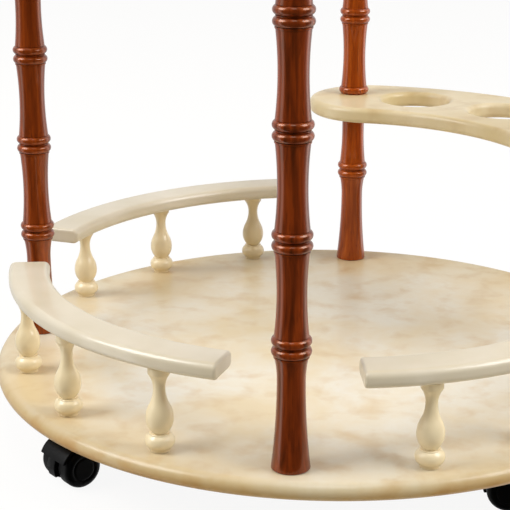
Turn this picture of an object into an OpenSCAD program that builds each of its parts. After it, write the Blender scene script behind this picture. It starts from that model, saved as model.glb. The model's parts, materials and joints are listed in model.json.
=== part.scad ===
// Round two-tier serving trolley for cheese: two round shelves on four turned
// legs, a curved bottle rack, low galleries, twin-wheel casters, and a cheese
// board under a lift-off clear dome. Millimetres, +Z up. The origin is on the
// floor under the middle of the trolley's outline. The front leg stands on -Y.

/* [Shelves] */
// Diameter of the two round shelves
shelf_d = 700; // [640:10:760]
// Thickness of the two shelves
shelf_t = 18; // [16:1:24]

/* [Legs] */
// Distance from a shelf's edge in to a leg's axis
leg_inset = 35; // [28:1:42]
// Height of the first node over the lower shelf, and of the top shelf over the last node
foot_h = 115.5; // [100:0.5:130]
// Distance from one node to the next
node_pitch = 95.5; // [85:0.5:110]
// Number of nodes on a leg
node_count = 6; // [5:1:7]
// Diameter over the two rings of a node
node_d = 36; // [34:0.5:40]
// Height of one ring of a node
ring_h = 8.8; // [7:0.2:10]
// Gap between the two rings of a node
ring_gap = 0.9; // [0.5:0.1:2]
// Diameter in the groove between two rings
groove_d = 31; // [28:0.5:33]
// Diameter of the leg beside a node
swell_d = 31; // [29:0.5:33]
// Diameter of the leg halfway between two nodes
waist_d = 26.6; // [24:0.2:28]
// Diameter of the leg where it meets a shelf
foot_d = 35.6; // [32:0.4:40]
// Smallest diameter of the end sections
foot_waist_d = 25.6; // [23:0.2:27]
// Distance from the first node down to the smallest diameter
foot_waist_drop = 32; // [25:1:45]

/* [Bottle rack] */
// Width of the curved rack
rack_w = 150; // [130:2:170]
// Distance that the rack stands out past the shelf's edge
rack_overhang = 22; // [10:1:35]
// Thickness of the rack
rack_t = 18; // [14:1:24]
// Radius of the rack's rounded edges
rack_edge_r = 6; // [3:0.5:6.5]
// Angle from a leg in to the middle of the rack's round end
rack_end_turn = 4.6; // [2:0.2:7]
// Diameter of a bottle hole
bottle_d = 80; // [70:1:84]
// Angle from the back leg to the first bottle hole
bottle_first_turn = 15; // [14:0.5:17]
// Angle from one bottle hole to the next
bottle_step = 22.5; // [21:0.5:24]
// Number of bottle holes
bottle_count = 3; // [1:1:3]

/* [Galleries] */
// Height of a rail's top over its shelf
rail_h = 98.5; // [85:0.5:110]
// Width of a rail
rail_w = 42; // [36:1:48]
// Thickness of a rail
rail_t = 16.5; // [14:0.5:20]
// Radius of a rail's rounded edges
rail_edge_r = 5.5; // [3:0.5:6.5]
// Distance from the shelf's edge in to a rail
rail_inset = 16; // [10:1:18]
// Angle from a leg to the end of a rail
rail_end_turn = 11.25; // [9:0.25:14]
// Distance from the shelf's edge in to a baluster's axis
baluster_inset = 31; // [29:0.5:36]
// Angle from one baluster to the next
baluster_step = 22.5; // [18:0.5:24]
// Diameter of a baluster's foot
baluster_foot_d = 19; // [16:0.5:21]
// Diameter of the ball over the foot
ball_d = 27.6; // [25:0.2:29]
// Height of the ball
ball_h = 15.4; // [13:0.2:17]
// Diameter of the bulb
bulb_d = 25.8; // [22:0.2:27]
// Radius of the bulb's curve over its widest place, seen from the side
bulb_curve_r = 26; // [24:1:32]
// Radius of the bulb's curve under its widest place, seen from the side
bulb_foot_curve_r = 20; // [19:0.5:26]
// Distance from the ball's top up to the bulb's widest place
bulb_rise = 16.5; // [15:0.5:18]
// Smallest diameter of the neck
neck_d = 11.2; // [10:0.2:13]
// Distance from the rail down to the smallest place of the neck
neck_drop = 21; // [18:0.5:24]
// Diameter of the collar under the rail
collar_d = 20.5; // [18:0.5:23]
// Height of the collar's straight side
collar_h = 7; // [3:0.5:9]
// Diameter of the tenons at both ends of a baluster
tenon_d = 8; // [6:0.5:9]
// Length of each tenon
tenon_l = 9; // [6:0.5:10]

/* [Casters] */
// Diameter of the wheels
wheel_d = 40; // [36:1:50]
// Width of one wheel
wheel_w = 17; // [14:0.5:18]
// Radius of the tread's inner edge
wheel_edge_r = 2; // [1:0.5:3]
// Radius that rounds the tread into the wheel's outer face
wheel_face_r = 6; // [4:0.5:7]
// Thickness of the wheel's closed outer face
wheel_cap_t = 4; // [3:0.5:5]
// Height of the swivel head over the wheels, to the shelf
head_h = 12; // [11:0.5:16]
// Distance from the swivel axis to the axle
trail = 18.5; // [17:0.5:21]
// Thickness of the hood's web between the wheels
web_t = 13; // [12:0.5:16]
// Thickness of the hood's shell over the wheels
hood_wall = 2.4; // [1.6:0.1:3]
// Distance from a wheel's outer face in to the end of the hood
hood_set_back = 2.7; // [2:0.1:5]
// Diameter of the swivel head
head_d = 26; // [22:1:30]
// Width of the mounting plate
plate_w = 40; // [36:1:46]
// Thickness of the mounting plate
plate_t = 2; // [1.6:0.2:3]
// Diameter of the swivel stud
swivel_d = 7; // [6:0.2:7.6]
// Length of the swivel stud under the plate
swivel_l = 16; // [12:1:18]
// Diameter of the axle
axle_d = 6; // [5:0.2:7]
// Distance from the shelf's edge in to a swivel axis
caster_inset = 50; // [45:1:60]

/* [Cheese board and dome] */
// Diameter of the cheese board
board_d = 430; // [390:5:460]
// Thickness of the cheese board
board_t = 22; // [18:1:28]
// Radius of the board's rounded edge
board_edge_r = 4; // [2:0.5:6]
// Outer diameter of the dome
dome_d = 360; // [320:5:375]
// Height of the dome's straight wall
dome_wall_h = 40; // [20:2:70]
// Thickness of the dome
dome_t = 4; // [3:0.5:5]
// Depth of the groove that the dome stands in
seat_depth = 2; // [1:0.5:4]
// Diameter of the knob
knob_d = 34; // [28:1:40]
// Height of the knob
knob_h = 36; // [30:1:44]

/* [Fasteners] */
// Diameter of the studs that join the leg sections
stud_d = 8; // [6:0.5:10]
// Length of a stud inside each leg section
stud_hold = 28; // [20:1:40]
// Diameter of the screws in the legs' feet
leg_screw_d = 6; // [5:0.5:7]
// Length of a foot screw inside the leg
leg_screw_hold = 36; // [25:1:45]
// Diameter of the dowels in the legs' heads
dowel_d = 10; // [8:0.5:12]
// Length of a dowel inside the leg
dowel_hold = 24; // [16:1:30]
// Length of a dowel inside the top shelf
dowel_seat = 11; // [8:1:12]
// Diameter of the caster screws
caster_screw_d = 3.5; // [3:0.1:4]
// Length of the caster screws
caster_screw_l = 14; // [10:1:15]
// Diameter of the screws in the board
board_screw_d = 4; // [3:0.2:5]
// Length of a board screw inside the board
board_screw_hold = 12; // [8:1:15]
// Radius of the circle of board screws
board_screw_r = 140; // [100:5:150]
// Diameter of the knob's screw
knob_screw_d = 3.5; // [3:0.1:3.7]

/* [Fits] */
// Radial clearance round a fastener or a tenon
fit = 0.1; // [0.05:0.01:0.2]
// Radial clearance of a part that turns on a shaft
run_fit = 0.05; // [0.03:0.01:0.08]
// Gap between faces that move past each other
face_gap = 0.3; // [0.3:0.1:0.6]
// Gap between a wheel's tread and the hood
tread_gap = 1.2; // [1:0.1:2]
// Free depth under a fastener or a tenon
end_gap = 0.5; // [0.3:0.1:0.8]

/* [Hidden] */

// Directions round the trolley, in degrees from +X
right = 0;
back = 90;
left = 180;
front = -90;
front_left = -135;
front_right = -45;
back_left = 135;
back_right = 45;
leg_turns = [front, right, back, left];
corner_turns = [front_left, front_right, back_left, back_right];
gallery_turns = [front_left, front_right, back_left];
// Heading of each caster's trail at rest, in the order of corner_turns
caster_headings = [226, 182, 320, 20];

// Heights over the floor
caster_h = wheel_d + head_h;
deck_z = caster_h + shelf_t;
leg_h = 2 * foot_h + (node_count - 1) * node_pitch;
top_shelf_z = deck_z + leg_h;
top_deck_z = top_shelf_z + shelf_t;
// The leg sections meet at the second node, which also carries the rack's top
joint_h = foot_h + node_pitch;
rack_z = deck_z + joint_h - rack_t;

// Circles round the middle of the shelves
shelf_r = shelf_d / 2;
leg_circle_r = shelf_r - leg_inset;
caster_circle_r = shelf_r - caster_inset;
baluster_circle_r = shelf_r - baluster_inset;
rail_out_r = shelf_r - rail_inset;
rail_in_r = rail_out_r - rail_w;
rack_out_r = shelf_r + rack_overhang;
rack_in_r = rack_out_r - rack_w;
rack_mid_r = (rack_out_r + rack_in_r) / 2;

// The rack stands out past the shelves on +X and +Y, so the middle of the outline
// isn't on the shelves' axis
rack_reach = rack_mid_r * cos(rack_end_turn) + rack_w / 2;
axis_x = (shelf_r - max(shelf_r, rack_reach)) / 2;
axis_y = axis_x;

// Turned shapes
ring_r = ring_h / 2;
ring_offset = (ring_h + ring_gap) / 2;
node_half_h = ring_h + ring_gap / 2;
shoulder_h = 2.4;
shoulder_d = swell_d + 1;
baluster_h = rail_h - rail_t;
neck_z = baluster_h - neck_drop;
bulb_z = ball_h + bulb_rise;
ball_ring_d = 20;
ball_ring_h = 2.2;
bulb_shoulder_rise = 12;

// Fasteners
leg_screw_head_d = 2 * leg_screw_d;
leg_screw_head_h = leg_screw_d / 2;
caster_screw_head_d = 2 * caster_screw_d;
caster_screw_head_h = caster_screw_d / 2;
caster_screw_spread = plate_w / 2 - caster_screw_head_d / 2 - 1.5;
board_screw_head_d = 2 * board_screw_d;
board_screw_head_h = board_screw_d / 2;
board_screw_turns = [30, 150, 270];

// Casters
wheel_r = wheel_d / 2;
pocket_r = wheel_r + tread_gap;
hood_r = pocket_r + hood_wall;
wheel_face = web_t / 2 + 0.7;
hood_half_w = wheel_face + wheel_w - hood_set_back;
hood_top_z = caster_h - plate_t - face_gap;
hood_skirt_rise = 9;
hood_end_r = 2;
web_drop = 9;
axle_half_l = wheel_face + wheel_w - wheel_cap_t - face_gap;

// Cheese board and dome
board_top_z = top_deck_z + board_t;
dome_r = dome_d / 2;
dome_z = board_top_z - seat_depth + face_gap;
seat_side_gap = 1;
dome_top_z = dome_z + dome_wall_h + dome_r;
knob_neck_d = 16;
knob_foot_d = 26;
knob_foot_h = 5;
knob_screw_hold = 14;
knob_screw_head_d = 12;
knob_screw_head_h = 3;
// The dome and what sits on it are flat where they meet
knob_flat = 1.2;

curve_fn = 96;
long_curve_fn = 720;

// Radius of an arc that bulges by rise over half its length, half_l
function arc_r(half_l, rise) = (half_l * half_l + rise * rise) / (2 * rise);

// Puts a sub-part on the axis that both shelves share
module on_axis() {
    translate([axis_x, axis_y, 0]) children();
}

module ring_place(r, turn, z = 0) {
    rotate([0, 0, turn]) translate([r, 0, z]) children();
}

// A rectangle with four rounded corners, from x0 to x0 + w and y from 0 to h
module rounded_rect(x0, w, h, r) {
    translate([x0 + r, 0]) square([w - 2 * r, h]);
    translate([x0, r]) square([w, h - 2 * r]);
    for (x = [x0 + r, x0 + w - r]) {
        for (y = [r, h - r]) {
            translate([x, y]) circle(r = r, $fn = 48);
        }
    }
}

// ---- Shelves

module shelf_disc() {
    rotate_extrude($fn = 360) {
        square([shelf_r - shelf_t / 2, shelf_t]);
        translate([shelf_r - shelf_t / 2, shelf_t / 2]) circle(d = shelf_t, $fn = 64);
    }
}

// Sockets in a shelf's top for the tenons of its three galleries
module gallery_sockets(z) {
    for (g = gallery_turns) {
        for (k = [-1, 0, 1]) {
            ring_place(baluster_circle_r, g + k * baluster_step, z - tenon_l - end_gap)
                cylinder(d = tenon_d + 2 * fit, h = tenon_l + end_gap + 1, $fn = 32);
        }
    }
}

module countersunk_hole(d, head_d, head_h, depth) {
    translate([0, 0, -1]) cylinder(d = d + 2 * fit, h = depth + 1, $fn = 32);
    translate([0, 0, -1]) cylinder(d = head_d + 2 * fit, h = 1.001, $fn = 32);
    cylinder(d1 = head_d + 2 * fit, d2 = d + 2 * fit, h = head_h, $fn = 32);
}

module countersunk_screw(d, head_d, head_h, length) {
    cylinder(d1 = head_d, d2 = d, h = head_h, $fn = 32);
    cylinder(d = d, h = length, $fn = 32);
}

module bottom_shelf() {
    color("#e2cfae") on_axis() difference() {
        translate([0, 0, caster_h]) shelf_disc();
        gallery_sockets(deck_z);
        for (a = leg_turns) {
            ring_place(leg_circle_r, a, caster_h)
                countersunk_hole(leg_screw_d, leg_screw_head_d, leg_screw_head_h, shelf_t + 1);
        }
        for (a = corner_turns) {
            ring_place(caster_circle_r, a, caster_h) caster_screw_holes();
        }
    }
}

module top_shelf() {
    color("#e2cfae") on_axis() difference() {
        translate([0, 0, top_shelf_z]) shelf_disc();
        gallery_sockets(top_deck_z);
        for (a = leg_turns) {
            ring_place(leg_circle_r, a, top_shelf_z - 1)
                cylinder(d = dowel_d + 2 * fit, h = dowel_seat + end_gap + 1, $fn = 32);
        }
        for (a = board_screw_turns) {
            ring_place(board_screw_r, a, top_shelf_z)
                countersunk_hole(board_screw_d, board_screw_head_d, board_screw_head_h, shelf_t + 1);
        }
    }
}

// ---- Legs

// Side view of a leg between two nodes, hollowed to the waist
module internode_2d(z0, z1) {
    half_l = (z1 - z0) / 2;
    r = arc_r(half_l, (swell_d - waist_d) / 2);
    difference() {
        translate([0, z0]) square([swell_d / 2, z1 - z0]);
        translate([waist_d / 2 + r, z0 + half_l]) circle(r = r, $fn = long_curve_fn);
    }
}

// Side view of the flared end, from the shelf at z = 0 up to the node at foot_h
module foot_2d() {
    waist_z = foot_h - foot_waist_drop;
    top_z = foot_h - node_half_h;
    low_r = arc_r(waist_z, (foot_d - foot_waist_d) / 2);
    high_r = arc_r(top_z - waist_z, (swell_d - 1 - foot_waist_d) / 2);
    difference() {
        square([foot_d / 2, waist_z]);
        translate([foot_waist_d / 2 + low_r, waist_z]) circle(r = low_r, $fn = long_curve_fn);
    }
    difference() {
        translate([0, waist_z]) square([swell_d / 2, top_z - waist_z]);
        translate([foot_waist_d / 2 + high_r, waist_z]) circle(r = high_r, $fn = long_curve_fn);
    }
}

// One ring of a node at height z
module ring_2d(z) {
    translate([0, z - ring_r]) square([node_d / 2 - ring_r, ring_h]);
    translate([node_d / 2 - ring_r, z]) circle(r = ring_r, $fn = 48);
}

// A ring with its groove and the small step that marks the node's lower edge
module lower_ring_2d(z) {
    ring_2d(z - ring_offset);
    translate([0, z - ring_gap / 2 - 1]) square([groove_d / 2, ring_gap / 2 + 1]);
    translate([0, z - node_half_h - shoulder_h + 1]) square([shoulder_d / 2, shoulder_h]);
}

module upper_ring_2d(z) {
    ring_2d(z + ring_offset);
    translate([0, z]) square([groove_d / 2, ring_gap / 2 + 1]);
}

// The lower section of a leg that carries no rack
module leg_lower(turn) {
    color("#7a2f16") on_axis() ring_place(leg_circle_r, turn, deck_z) difference() {
        rotate_extrude($fn = curve_fn) {
            foot_2d();
            lower_ring_2d(foot_h);
            upper_ring_2d(foot_h);
            internode_2d(foot_h + node_half_h, joint_h - node_half_h);
            lower_ring_2d(joint_h);
        }
        leg_lower_bores(joint_h);
    }
}

// The lower section under the rack: it keeps its waist up to the rack
module rack_leg_lower(turn) {
    mid_z = foot_h + node_pitch / 2;
    color("#7a2f16") on_axis() ring_place(leg_circle_r, turn, deck_z) difference() {
        rotate_extrude($fn = curve_fn) {
            foot_2d();
            lower_ring_2d(foot_h);
            upper_ring_2d(foot_h);
            intersection() {
                internode_2d(foot_h + node_half_h, joint_h - node_half_h);
                square([node_d, mid_z]);
            }
            translate([0, mid_z]) square([waist_d / 2, joint_h - rack_t - mid_z]);
        }
        leg_lower_bores(joint_h - rack_t);
    }
}

module leg_lower_bores(top_h) {
    translate([0, 0, -1])
        cylinder(d = leg_screw_d + 2 * fit, h = leg_screw_hold + end_gap + 1, $fn = 32);
    translate([0, 0, top_h - stud_hold - end_gap])
        cylinder(d = stud_d + 2 * fit, h = stud_hold + end_gap + 1, $fn = 32);
}

// The upper section, from the joint to the top shelf
module leg_upper(turn) {
    color("#7a2f16") on_axis() ring_place(leg_circle_r, turn, deck_z) difference() {
        rotate_extrude($fn = curve_fn) {
            upper_ring_2d(joint_h);
            for (k = [2 : node_count - 1]) {
                z = foot_h + k * node_pitch;
                internode_2d(z - node_pitch + node_half_h, z - node_half_h);
                lower_ring_2d(z);
                upper_ring_2d(z);
            }
            translate([0, leg_h]) mirror([0, 1]) foot_2d();
        }
        translate([0, 0, joint_h - 1])
            cylinder(d = stud_d + 2 * fit, h = stud_hold + end_gap + 1, $fn = 32);
        translate([0, 0, leg_h - dowel_hold - end_gap])
            cylinder(d = dowel_d + 2 * fit, h = dowel_hold + end_gap + 1, $fn = 32);
    }
}

// ---- Bottle rack

module rack_section_2d() {
    rounded_rect(rack_in_r, rack_w, rack_t, rack_edge_r);
}

// A hole through the rack with both rims rounded
module bottle_hole_cut() {
    r = bottle_d / 2;
    rotate_extrude($fn = 128) {
        translate([0, -1]) square([r, rack_t + 2]);
        difference() {
            translate([0, -1]) square([r + rack_edge_r, rack_edge_r + 1]);
            translate([r + rack_edge_r, rack_edge_r]) circle(r = rack_edge_r, $fn = 48);
        }
        difference() {
            translate([0, rack_t - rack_edge_r]) square([r + rack_edge_r, rack_edge_r + 1]);
            translate([r + rack_edge_r, rack_t - rack_edge_r]) circle(r = rack_edge_r, $fn = 48);
        }
    }
}

// The round disc that ends the rack beside the back leg
module rack_end() {
    ring_place(rack_mid_r, back - rack_end_turn) rotate_extrude($fn = 180) {
        intersection() {
            rounded_rect(-rack_w / 2, rack_w, rack_t, rack_edge_r);
            square([rack_w, rack_t]);
        }
    }
}

module bottle_rack() {
    color("#dcc7a4") on_axis() translate([0, 0, rack_z]) difference() {
        union() {
            rotate([0, 0, right + rack_end_turn])
                rotate_extrude(angle = back - right - 2 * rack_end_turn, $fn = 360) rack_section_2d();
            rack_end();
            mirror([1, -1, 0]) rack_end();
        }
        for (k = [0 : bottle_count - 1]) {
            ring_place(rack_mid_r, back - bottle_first_turn - k * bottle_step) bottle_hole_cut();
        }
        for (a = [right, back]) {
            ring_place(leg_circle_r, a, -1) cylinder(d = stud_d + 2 * fit, h = rack_t + 2, $fn = 32);
        }
    }
}

// ---- Galleries

module gallery_rail(turn, z) {
    span = 90 - 2 * rail_end_turn;
    color("#e6dcc2") on_axis() difference() {
        rotate([0, 0, turn - span / 2]) translate([0, 0, z + baluster_h])
            rotate_extrude(angle = span, $fn = 360) {
                rounded_rect(rail_in_r, rail_w, rail_t, rail_edge_r);
            }
        for (k = [-1, 0, 1]) {
            ring_place(baluster_circle_r, turn + k * baluster_step, z + baluster_h - 1)
                cylinder(d = tenon_d + 2 * fit, h = tenon_l + end_gap + 1, $fn = 32);
        }
    }
}

// Side view of a baluster: foot, ball, bulb, neck and collar
module baluster_2d() {
    collar_r = collar_d / 2;
    cove_curve_r = arc_r(neck_drop - collar_h, collar_r - neck_d / 2);
    shoulder_z = bulb_z + bulb_shoulder_rise;
    shoulder_r = bulb_d / 2 - bulb_curve_r
        + sqrt(bulb_curve_r * bulb_curve_r - bulb_shoulder_rise * bulb_shoulder_rise);
    neck_curve_r = arc_r(neck_z - shoulder_z, shoulder_r - neck_d / 2);
    square([baluster_foot_d / 2, ball_h / 2]);
    translate([0, ball_h * 0.2]) square([ball_d / 2 - ball_h * 0.45, ball_h * 0.8]);
    intersection() {
        translate([ball_d / 2 - ball_h / 2, ball_h / 2 + 2]) circle(d = ball_h, $fn = 64);
        square([ball_d, ball_h + 2]);
    }
    square([ball_ring_d / 2, ball_h + ball_ring_h]);
    intersection() {
        translate([bulb_d / 2 - bulb_foot_curve_r, bulb_z]) circle(r = bulb_foot_curve_r, $fn = 180);
        translate([0, ball_h]) square([bulb_d, bulb_rise]);
    }
    intersection() {
        translate([bulb_d / 2 - bulb_curve_r, bulb_z]) circle(r = bulb_curve_r, $fn = 180);
        translate([0, bulb_z]) square([bulb_d, bulb_shoulder_rise]);
    }
    difference() {
        translate([0, shoulder_z]) square([shoulder_r, neck_z - shoulder_z]);
        translate([neck_d / 2 + neck_curve_r, neck_z]) circle(r = neck_curve_r, $fn = long_curve_fn);
    }
    difference() {
        translate([0, neck_z]) square([collar_r, neck_drop]);
        translate([neck_d / 2 + cove_curve_r, neck_z]) circle(r = cove_curve_r, $fn = long_curve_fn);
    }
}

module baluster(turn, z) {
    color("#e0d3b4") on_axis() ring_place(baluster_circle_r, turn, z) rotate_extrude($fn = 64) {
        baluster_2d();
        translate([0, -tenon_l]) square([tenon_d / 2, baluster_h + 2 * tenon_l]);
    }
}

module balusters(turn, z) {
    for (k = [-1, 0, 1]) {
        baluster(turn + k * baluster_step, z);
    }
}

// ---- Casters

module caster_place(i) {
    ring_place(caster_circle_r, corner_turns[i]) children();
}

module swivel_place(i) {
    caster_place(i) rotate([0, 0, caster_headings[i] - corner_turns[i]]) children();
}

module screw_corners() {
    for (x = [-1, 1]) {
        for (y = [-1, 1]) {
            translate([x * caster_screw_spread, y * caster_screw_spread, 0]) children();
        }
    }
}

// Pilot holes in the lower shelf, from its underside at z = 0
module caster_screw_holes() {
    screw_corners() translate([0, 0, -1])
        cylinder(d = caster_screw_d + 2 * fit, h = caster_screw_l - plate_t + end_gap + 1, $fn = 24);
}

module caster_plate(i) {
    color("#3a3a3a") on_axis() caster_place(i) {
        difference() {
            translate([-plate_w / 2, -plate_w / 2, caster_h - plate_t])
                cube([plate_w, plate_w, plate_t]);
            translate([0, 0, caster_h - plate_t]) screw_corners()
                countersunk_hole(caster_screw_d, caster_screw_head_d, caster_screw_head_h, plate_t + 1);
        }
        translate([0, 0, caster_h - plate_t - swivel_l])
            cylinder(d = swivel_d, h = swivel_l + plate_t / 2, $fn = 48);
    }
}

// A wheel-shaped disc about the axle, from y0 to y0 + w in the caster's own frame
module axle_disc(r, y0, w, fn = 96) {
    translate([trail, y0 + w, wheel_r]) rotate([90, 0, 0]) cylinder(r = r, h = w, $fn = fn);
}

// The hood's shell seen along its length, from the axle line outwards
module hood_half_2d() {
    square([hood_r - hood_end_r, hood_half_w]);
    square([hood_r, hood_half_w - hood_end_r]);
    translate([hood_r - hood_end_r, hood_half_w - hood_end_r]) circle(r = hood_end_r, $fn = 32);
}

module caster_hood(i) {
    color("#161616") on_axis() swivel_place(i) difference() {
        union() {
            // shell over both wheels
            difference() {
                translate([trail, 0, wheel_r]) rotate([-90, 0, 0]) rotate_extrude($fn = 96) {
                    hood_half_2d();
                    mirror([0, 1]) hood_half_2d();
                }
                translate([-hood_r, -hood_half_w - 1, -hood_r])
                    cube([2 * hood_r + trail + 1, 2 * hood_half_w + 2, wheel_r + hood_skirt_rise + hood_r]);
            }
            // web between the wheels
            difference() {
                axle_disc(hood_r, -web_t / 2, web_t);
                translate([-hood_r, -web_t, -hood_r])
                    cube([2 * hood_r + trail + 1, 2 * web_t, wheel_r - web_drop + hood_r]);
            }
            // swivel head, in line with the stud
            translate([0, 0, wheel_r + pocket_r - hood_wall])
                cylinder(d = head_d, h = hood_top_z - wheel_r - pocket_r + hood_wall, $fn = 64);
            translate([0, 0, wheel_r]) cylinder(d = web_t, h = hood_top_z - wheel_r, $fn = 48);
        }
        axle_disc(pocket_r, web_t / 2, hood_half_w);
        axle_disc(pocket_r, -web_t / 2 - hood_half_w, hood_half_w);
        translate([0, 0, caster_h - plate_t - swivel_l - end_gap])
            cylinder(d = swivel_d + 2 * run_fit, h = swivel_l + 1, $fn = 48);
        axle_disc(axle_d / 2 + fit, -web_t, 2 * web_t, 48);
    }
}

module caster_axle(i) {
    color("#9a9a9a") on_axis() swivel_place(i) axle_disc(axle_d / 2, -axle_half_l, 2 * axle_half_l, 48);
}

// side is 1 or -1: the wheel's place along the axle
module caster_wheel(i, side) {
    color("#1c1c1c") on_axis() swivel_place(i)
        translate([trail, 0, wheel_r]) rotate([-90 * side, 0, 0])
        rotate_extrude($fn = 96) difference() {
            translate([0, wheel_face]) union() {
                square([wheel_r - wheel_face_r, wheel_w]);
                translate([0, wheel_edge_r])
                    square([wheel_r, wheel_w - wheel_edge_r - wheel_face_r]);
                translate([wheel_r - wheel_face_r, wheel_w - wheel_face_r])
                    circle(r = wheel_face_r, $fn = 64);
                translate([wheel_r - wheel_edge_r, wheel_edge_r]) circle(r = wheel_edge_r, $fn = 32);
                square([wheel_r - wheel_edge_r, wheel_w - wheel_face_r]);
            }
            translate([0, wheel_face - 1]) square([axle_d / 2 + run_fit, wheel_w - wheel_cap_t + 1]);
        }
}

// ---- Fasteners

module leg_joint_studs() {
    color("#b9b9b4") on_axis() for (a = leg_turns) {
        low = (a == right || a == back) ? rack_t : 0;
        ring_place(leg_circle_r, a, deck_z + joint_h - low - stud_hold)
            cylinder(d = stud_d, h = 2 * stud_hold + low, $fn = 32);
    }
}

module leg_foot_screws() {
    color("#b9b9b4") on_axis() for (a = leg_turns) {
        ring_place(leg_circle_r, a, caster_h)
            countersunk_screw(leg_screw_d, leg_screw_head_d, leg_screw_head_h, shelf_t + leg_screw_hold);
    }
}

module leg_head_dowels() {
    color("#c9a26b") on_axis() for (a = leg_turns) {
        ring_place(leg_circle_r, a, top_shelf_z - dowel_hold)
            cylinder(d = dowel_d, h = dowel_hold + dowel_seat, $fn = 32);
    }
}

module caster_screws() {
    color("#b9b9b4") on_axis() for (i = [0 : 3]) {
        caster_place(i) translate([0, 0, caster_h - plate_t]) screw_corners()
            countersunk_screw(caster_screw_d, caster_screw_head_d, caster_screw_head_h, caster_screw_l);
    }
}

module board_screws() {
    color("#b9b9b4") on_axis() for (a = board_screw_turns) {
        ring_place(board_screw_r, a, top_shelf_z)
            countersunk_screw(board_screw_d, board_screw_head_d, board_screw_head_h,
                shelf_t + board_screw_hold);
    }
}

// ---- Cheese board and dome

module cheese_board() {
    color("#a8683a") on_axis() difference() {
        translate([0, 0, top_deck_z]) rotate_extrude($fn = 240) difference() {
            union() {
                square([board_d / 2 - board_edge_r, board_t]);
                rounded_rect(0, board_d / 2, board_t, board_edge_r);
            }
            translate([dome_r - dome_t - seat_side_gap, board_t - seat_depth])
                square([dome_t + 2 * seat_side_gap, seat_depth + 1]);
        }
        for (a = board_screw_turns) {
            ring_place(board_screw_r, a, top_deck_z - 1)
                cylinder(d = board_screw_d + 2 * fit, h = board_screw_hold + end_gap + 1, $fn = 32);
        }
    }
}

// The clear cover is a tube with a pressed cap cemented on it
module dome_wall() {
    color([0.8, 0.9, 0.95, 0.4]) on_axis() translate([0, 0, dome_z]) rotate_extrude($fn = 240) {
        translate([dome_r - dome_t, 0]) square([dome_t, dome_wall_h]);
    }
}

module dome_cap() {
    flat_z = dome_r - knob_flat;
    color([0.8, 0.9, 0.95, 0.4]) on_axis() translate([0, 0, dome_z + dome_wall_h]) difference() {
        rotate_extrude($fn = 240) difference() {
            intersection() {
                circle(r = dome_r, $fn = 360);
                square([dome_r, flat_z]);
            }
            circle(r = dome_r - dome_t, $fn = 360);
        }
        translate([0, 0, flat_z - dome_t - 1])
            cylinder(d = knob_screw_d + 2 * fit, h = dome_t + 3, $fn = 32);
    }
}

module dome_knob() {
    foot_z = dome_top_z - knob_flat;
    head_r = knob_d / 2;
    color("#7a2f16") on_axis() translate([0, 0, foot_z]) difference() {
        rotate_extrude($fn = 96) {
            square([knob_foot_d / 2 - 1.5, knob_foot_h]);
            square([knob_foot_d / 2, knob_foot_h - 1.5]);
            translate([knob_foot_d / 2 - 1.5, knob_foot_h - 1.5]) circle(r = 1.5, $fn = 32);
            square([knob_neck_d / 2, knob_h - head_r]);
            intersection() {
                translate([0, knob_h - head_r]) circle(r = head_r, $fn = 96);
                translate([0, knob_foot_h]) square([knob_d, knob_h]);
            }
        }
        translate([0, 0, -1])
            cylinder(d = knob_screw_d + 2 * fit, h = knob_screw_hold + end_gap + 1, $fn = 32);
    }
}

// The screw comes up from inside the dome: its head seats under the crown
module knob_screw() {
    inner_z = dome_z + dome_wall_h + dome_r - dome_t;
    head_rim_drop = (dome_r - dome_t)
        - sqrt((dome_r - dome_t) * (dome_r - dome_t) - knob_screw_head_d * knob_screw_head_d / 4);
    color("#b9b9b4") on_axis() {
        translate([0, 0, inner_z - head_rim_drop - knob_screw_head_h])
            cylinder(d = knob_screw_head_d, h = knob_screw_head_h, $fn = 48);
        translate([0, 0, inner_z - head_rim_drop - 1])
            cylinder(d = knob_screw_d, h = dome_t + knob_screw_hold + head_rim_drop - knob_flat + 1,
                $fn = 32);
    }
}

bottom_shelf();
top_shelf();
bottle_rack();
leg_lower(front);  // front_leg_lower
rack_leg_lower(right);  // right_leg_lower
rack_leg_lower(back);  // back_leg_lower
leg_lower(left);  // left_leg_lower
leg_upper(front);  // front_leg_upper
leg_upper(right);  // right_leg_upper
leg_upper(back);  // back_leg_upper
leg_upper(left);  // left_leg_upper
gallery_rail(front_left, deck_z);  // front_left_rail
baluster(front_left - baluster_step, deck_z);  // front_left_baluster_1
baluster(front_left, deck_z);  // front_left_baluster_2
baluster(front_left + baluster_step, deck_z);  // front_left_baluster_3
gallery_rail(front_right, deck_z);  // front_right_rail
baluster(front_right - baluster_step, deck_z);  // front_right_baluster_1
baluster(front_right, deck_z);  // front_right_baluster_2
baluster(front_right + baluster_step, deck_z);  // front_right_baluster_3
gallery_rail(back_left, deck_z);  // back_left_rail
baluster(back_left + baluster_step, deck_z);  // back_left_baluster_1
baluster(back_left, deck_z);  // back_left_baluster_2
baluster(back_left - baluster_step, deck_z);  // back_left_baluster_3
gallery_rail(front_left, top_deck_z);  // top_front_left_rail
balusters(front_left, top_deck_z);  // top_front_left_balusters
gallery_rail(front_right, top_deck_z);  // top_front_right_rail
balusters(front_right, top_deck_z);  // top_front_right_balusters
gallery_rail(back_left, top_deck_z);  // top_back_left_rail
balusters(back_left, top_deck_z);  // top_back_left_balusters
caster_plate(0);  // front_left_caster_plate
caster_hood(0);  // front_left_caster_hood
caster_axle(0);  // front_left_caster_axle
caster_wheel(0, 1);  // front_left_caster_wheel_1
caster_wheel(0, -1);  // front_left_caster_wheel_2
caster_plate(1);  // front_right_caster_plate
caster_hood(1);  // front_right_caster_hood
caster_axle(1);  // front_right_caster_axle
caster_wheel(1, 1);  // front_right_caster_wheel_1
caster_wheel(1, -1);  // front_right_caster_wheel_2
caster_plate(2);  // back_left_caster_plate
caster_hood(2);  // back_left_caster_hood
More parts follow.
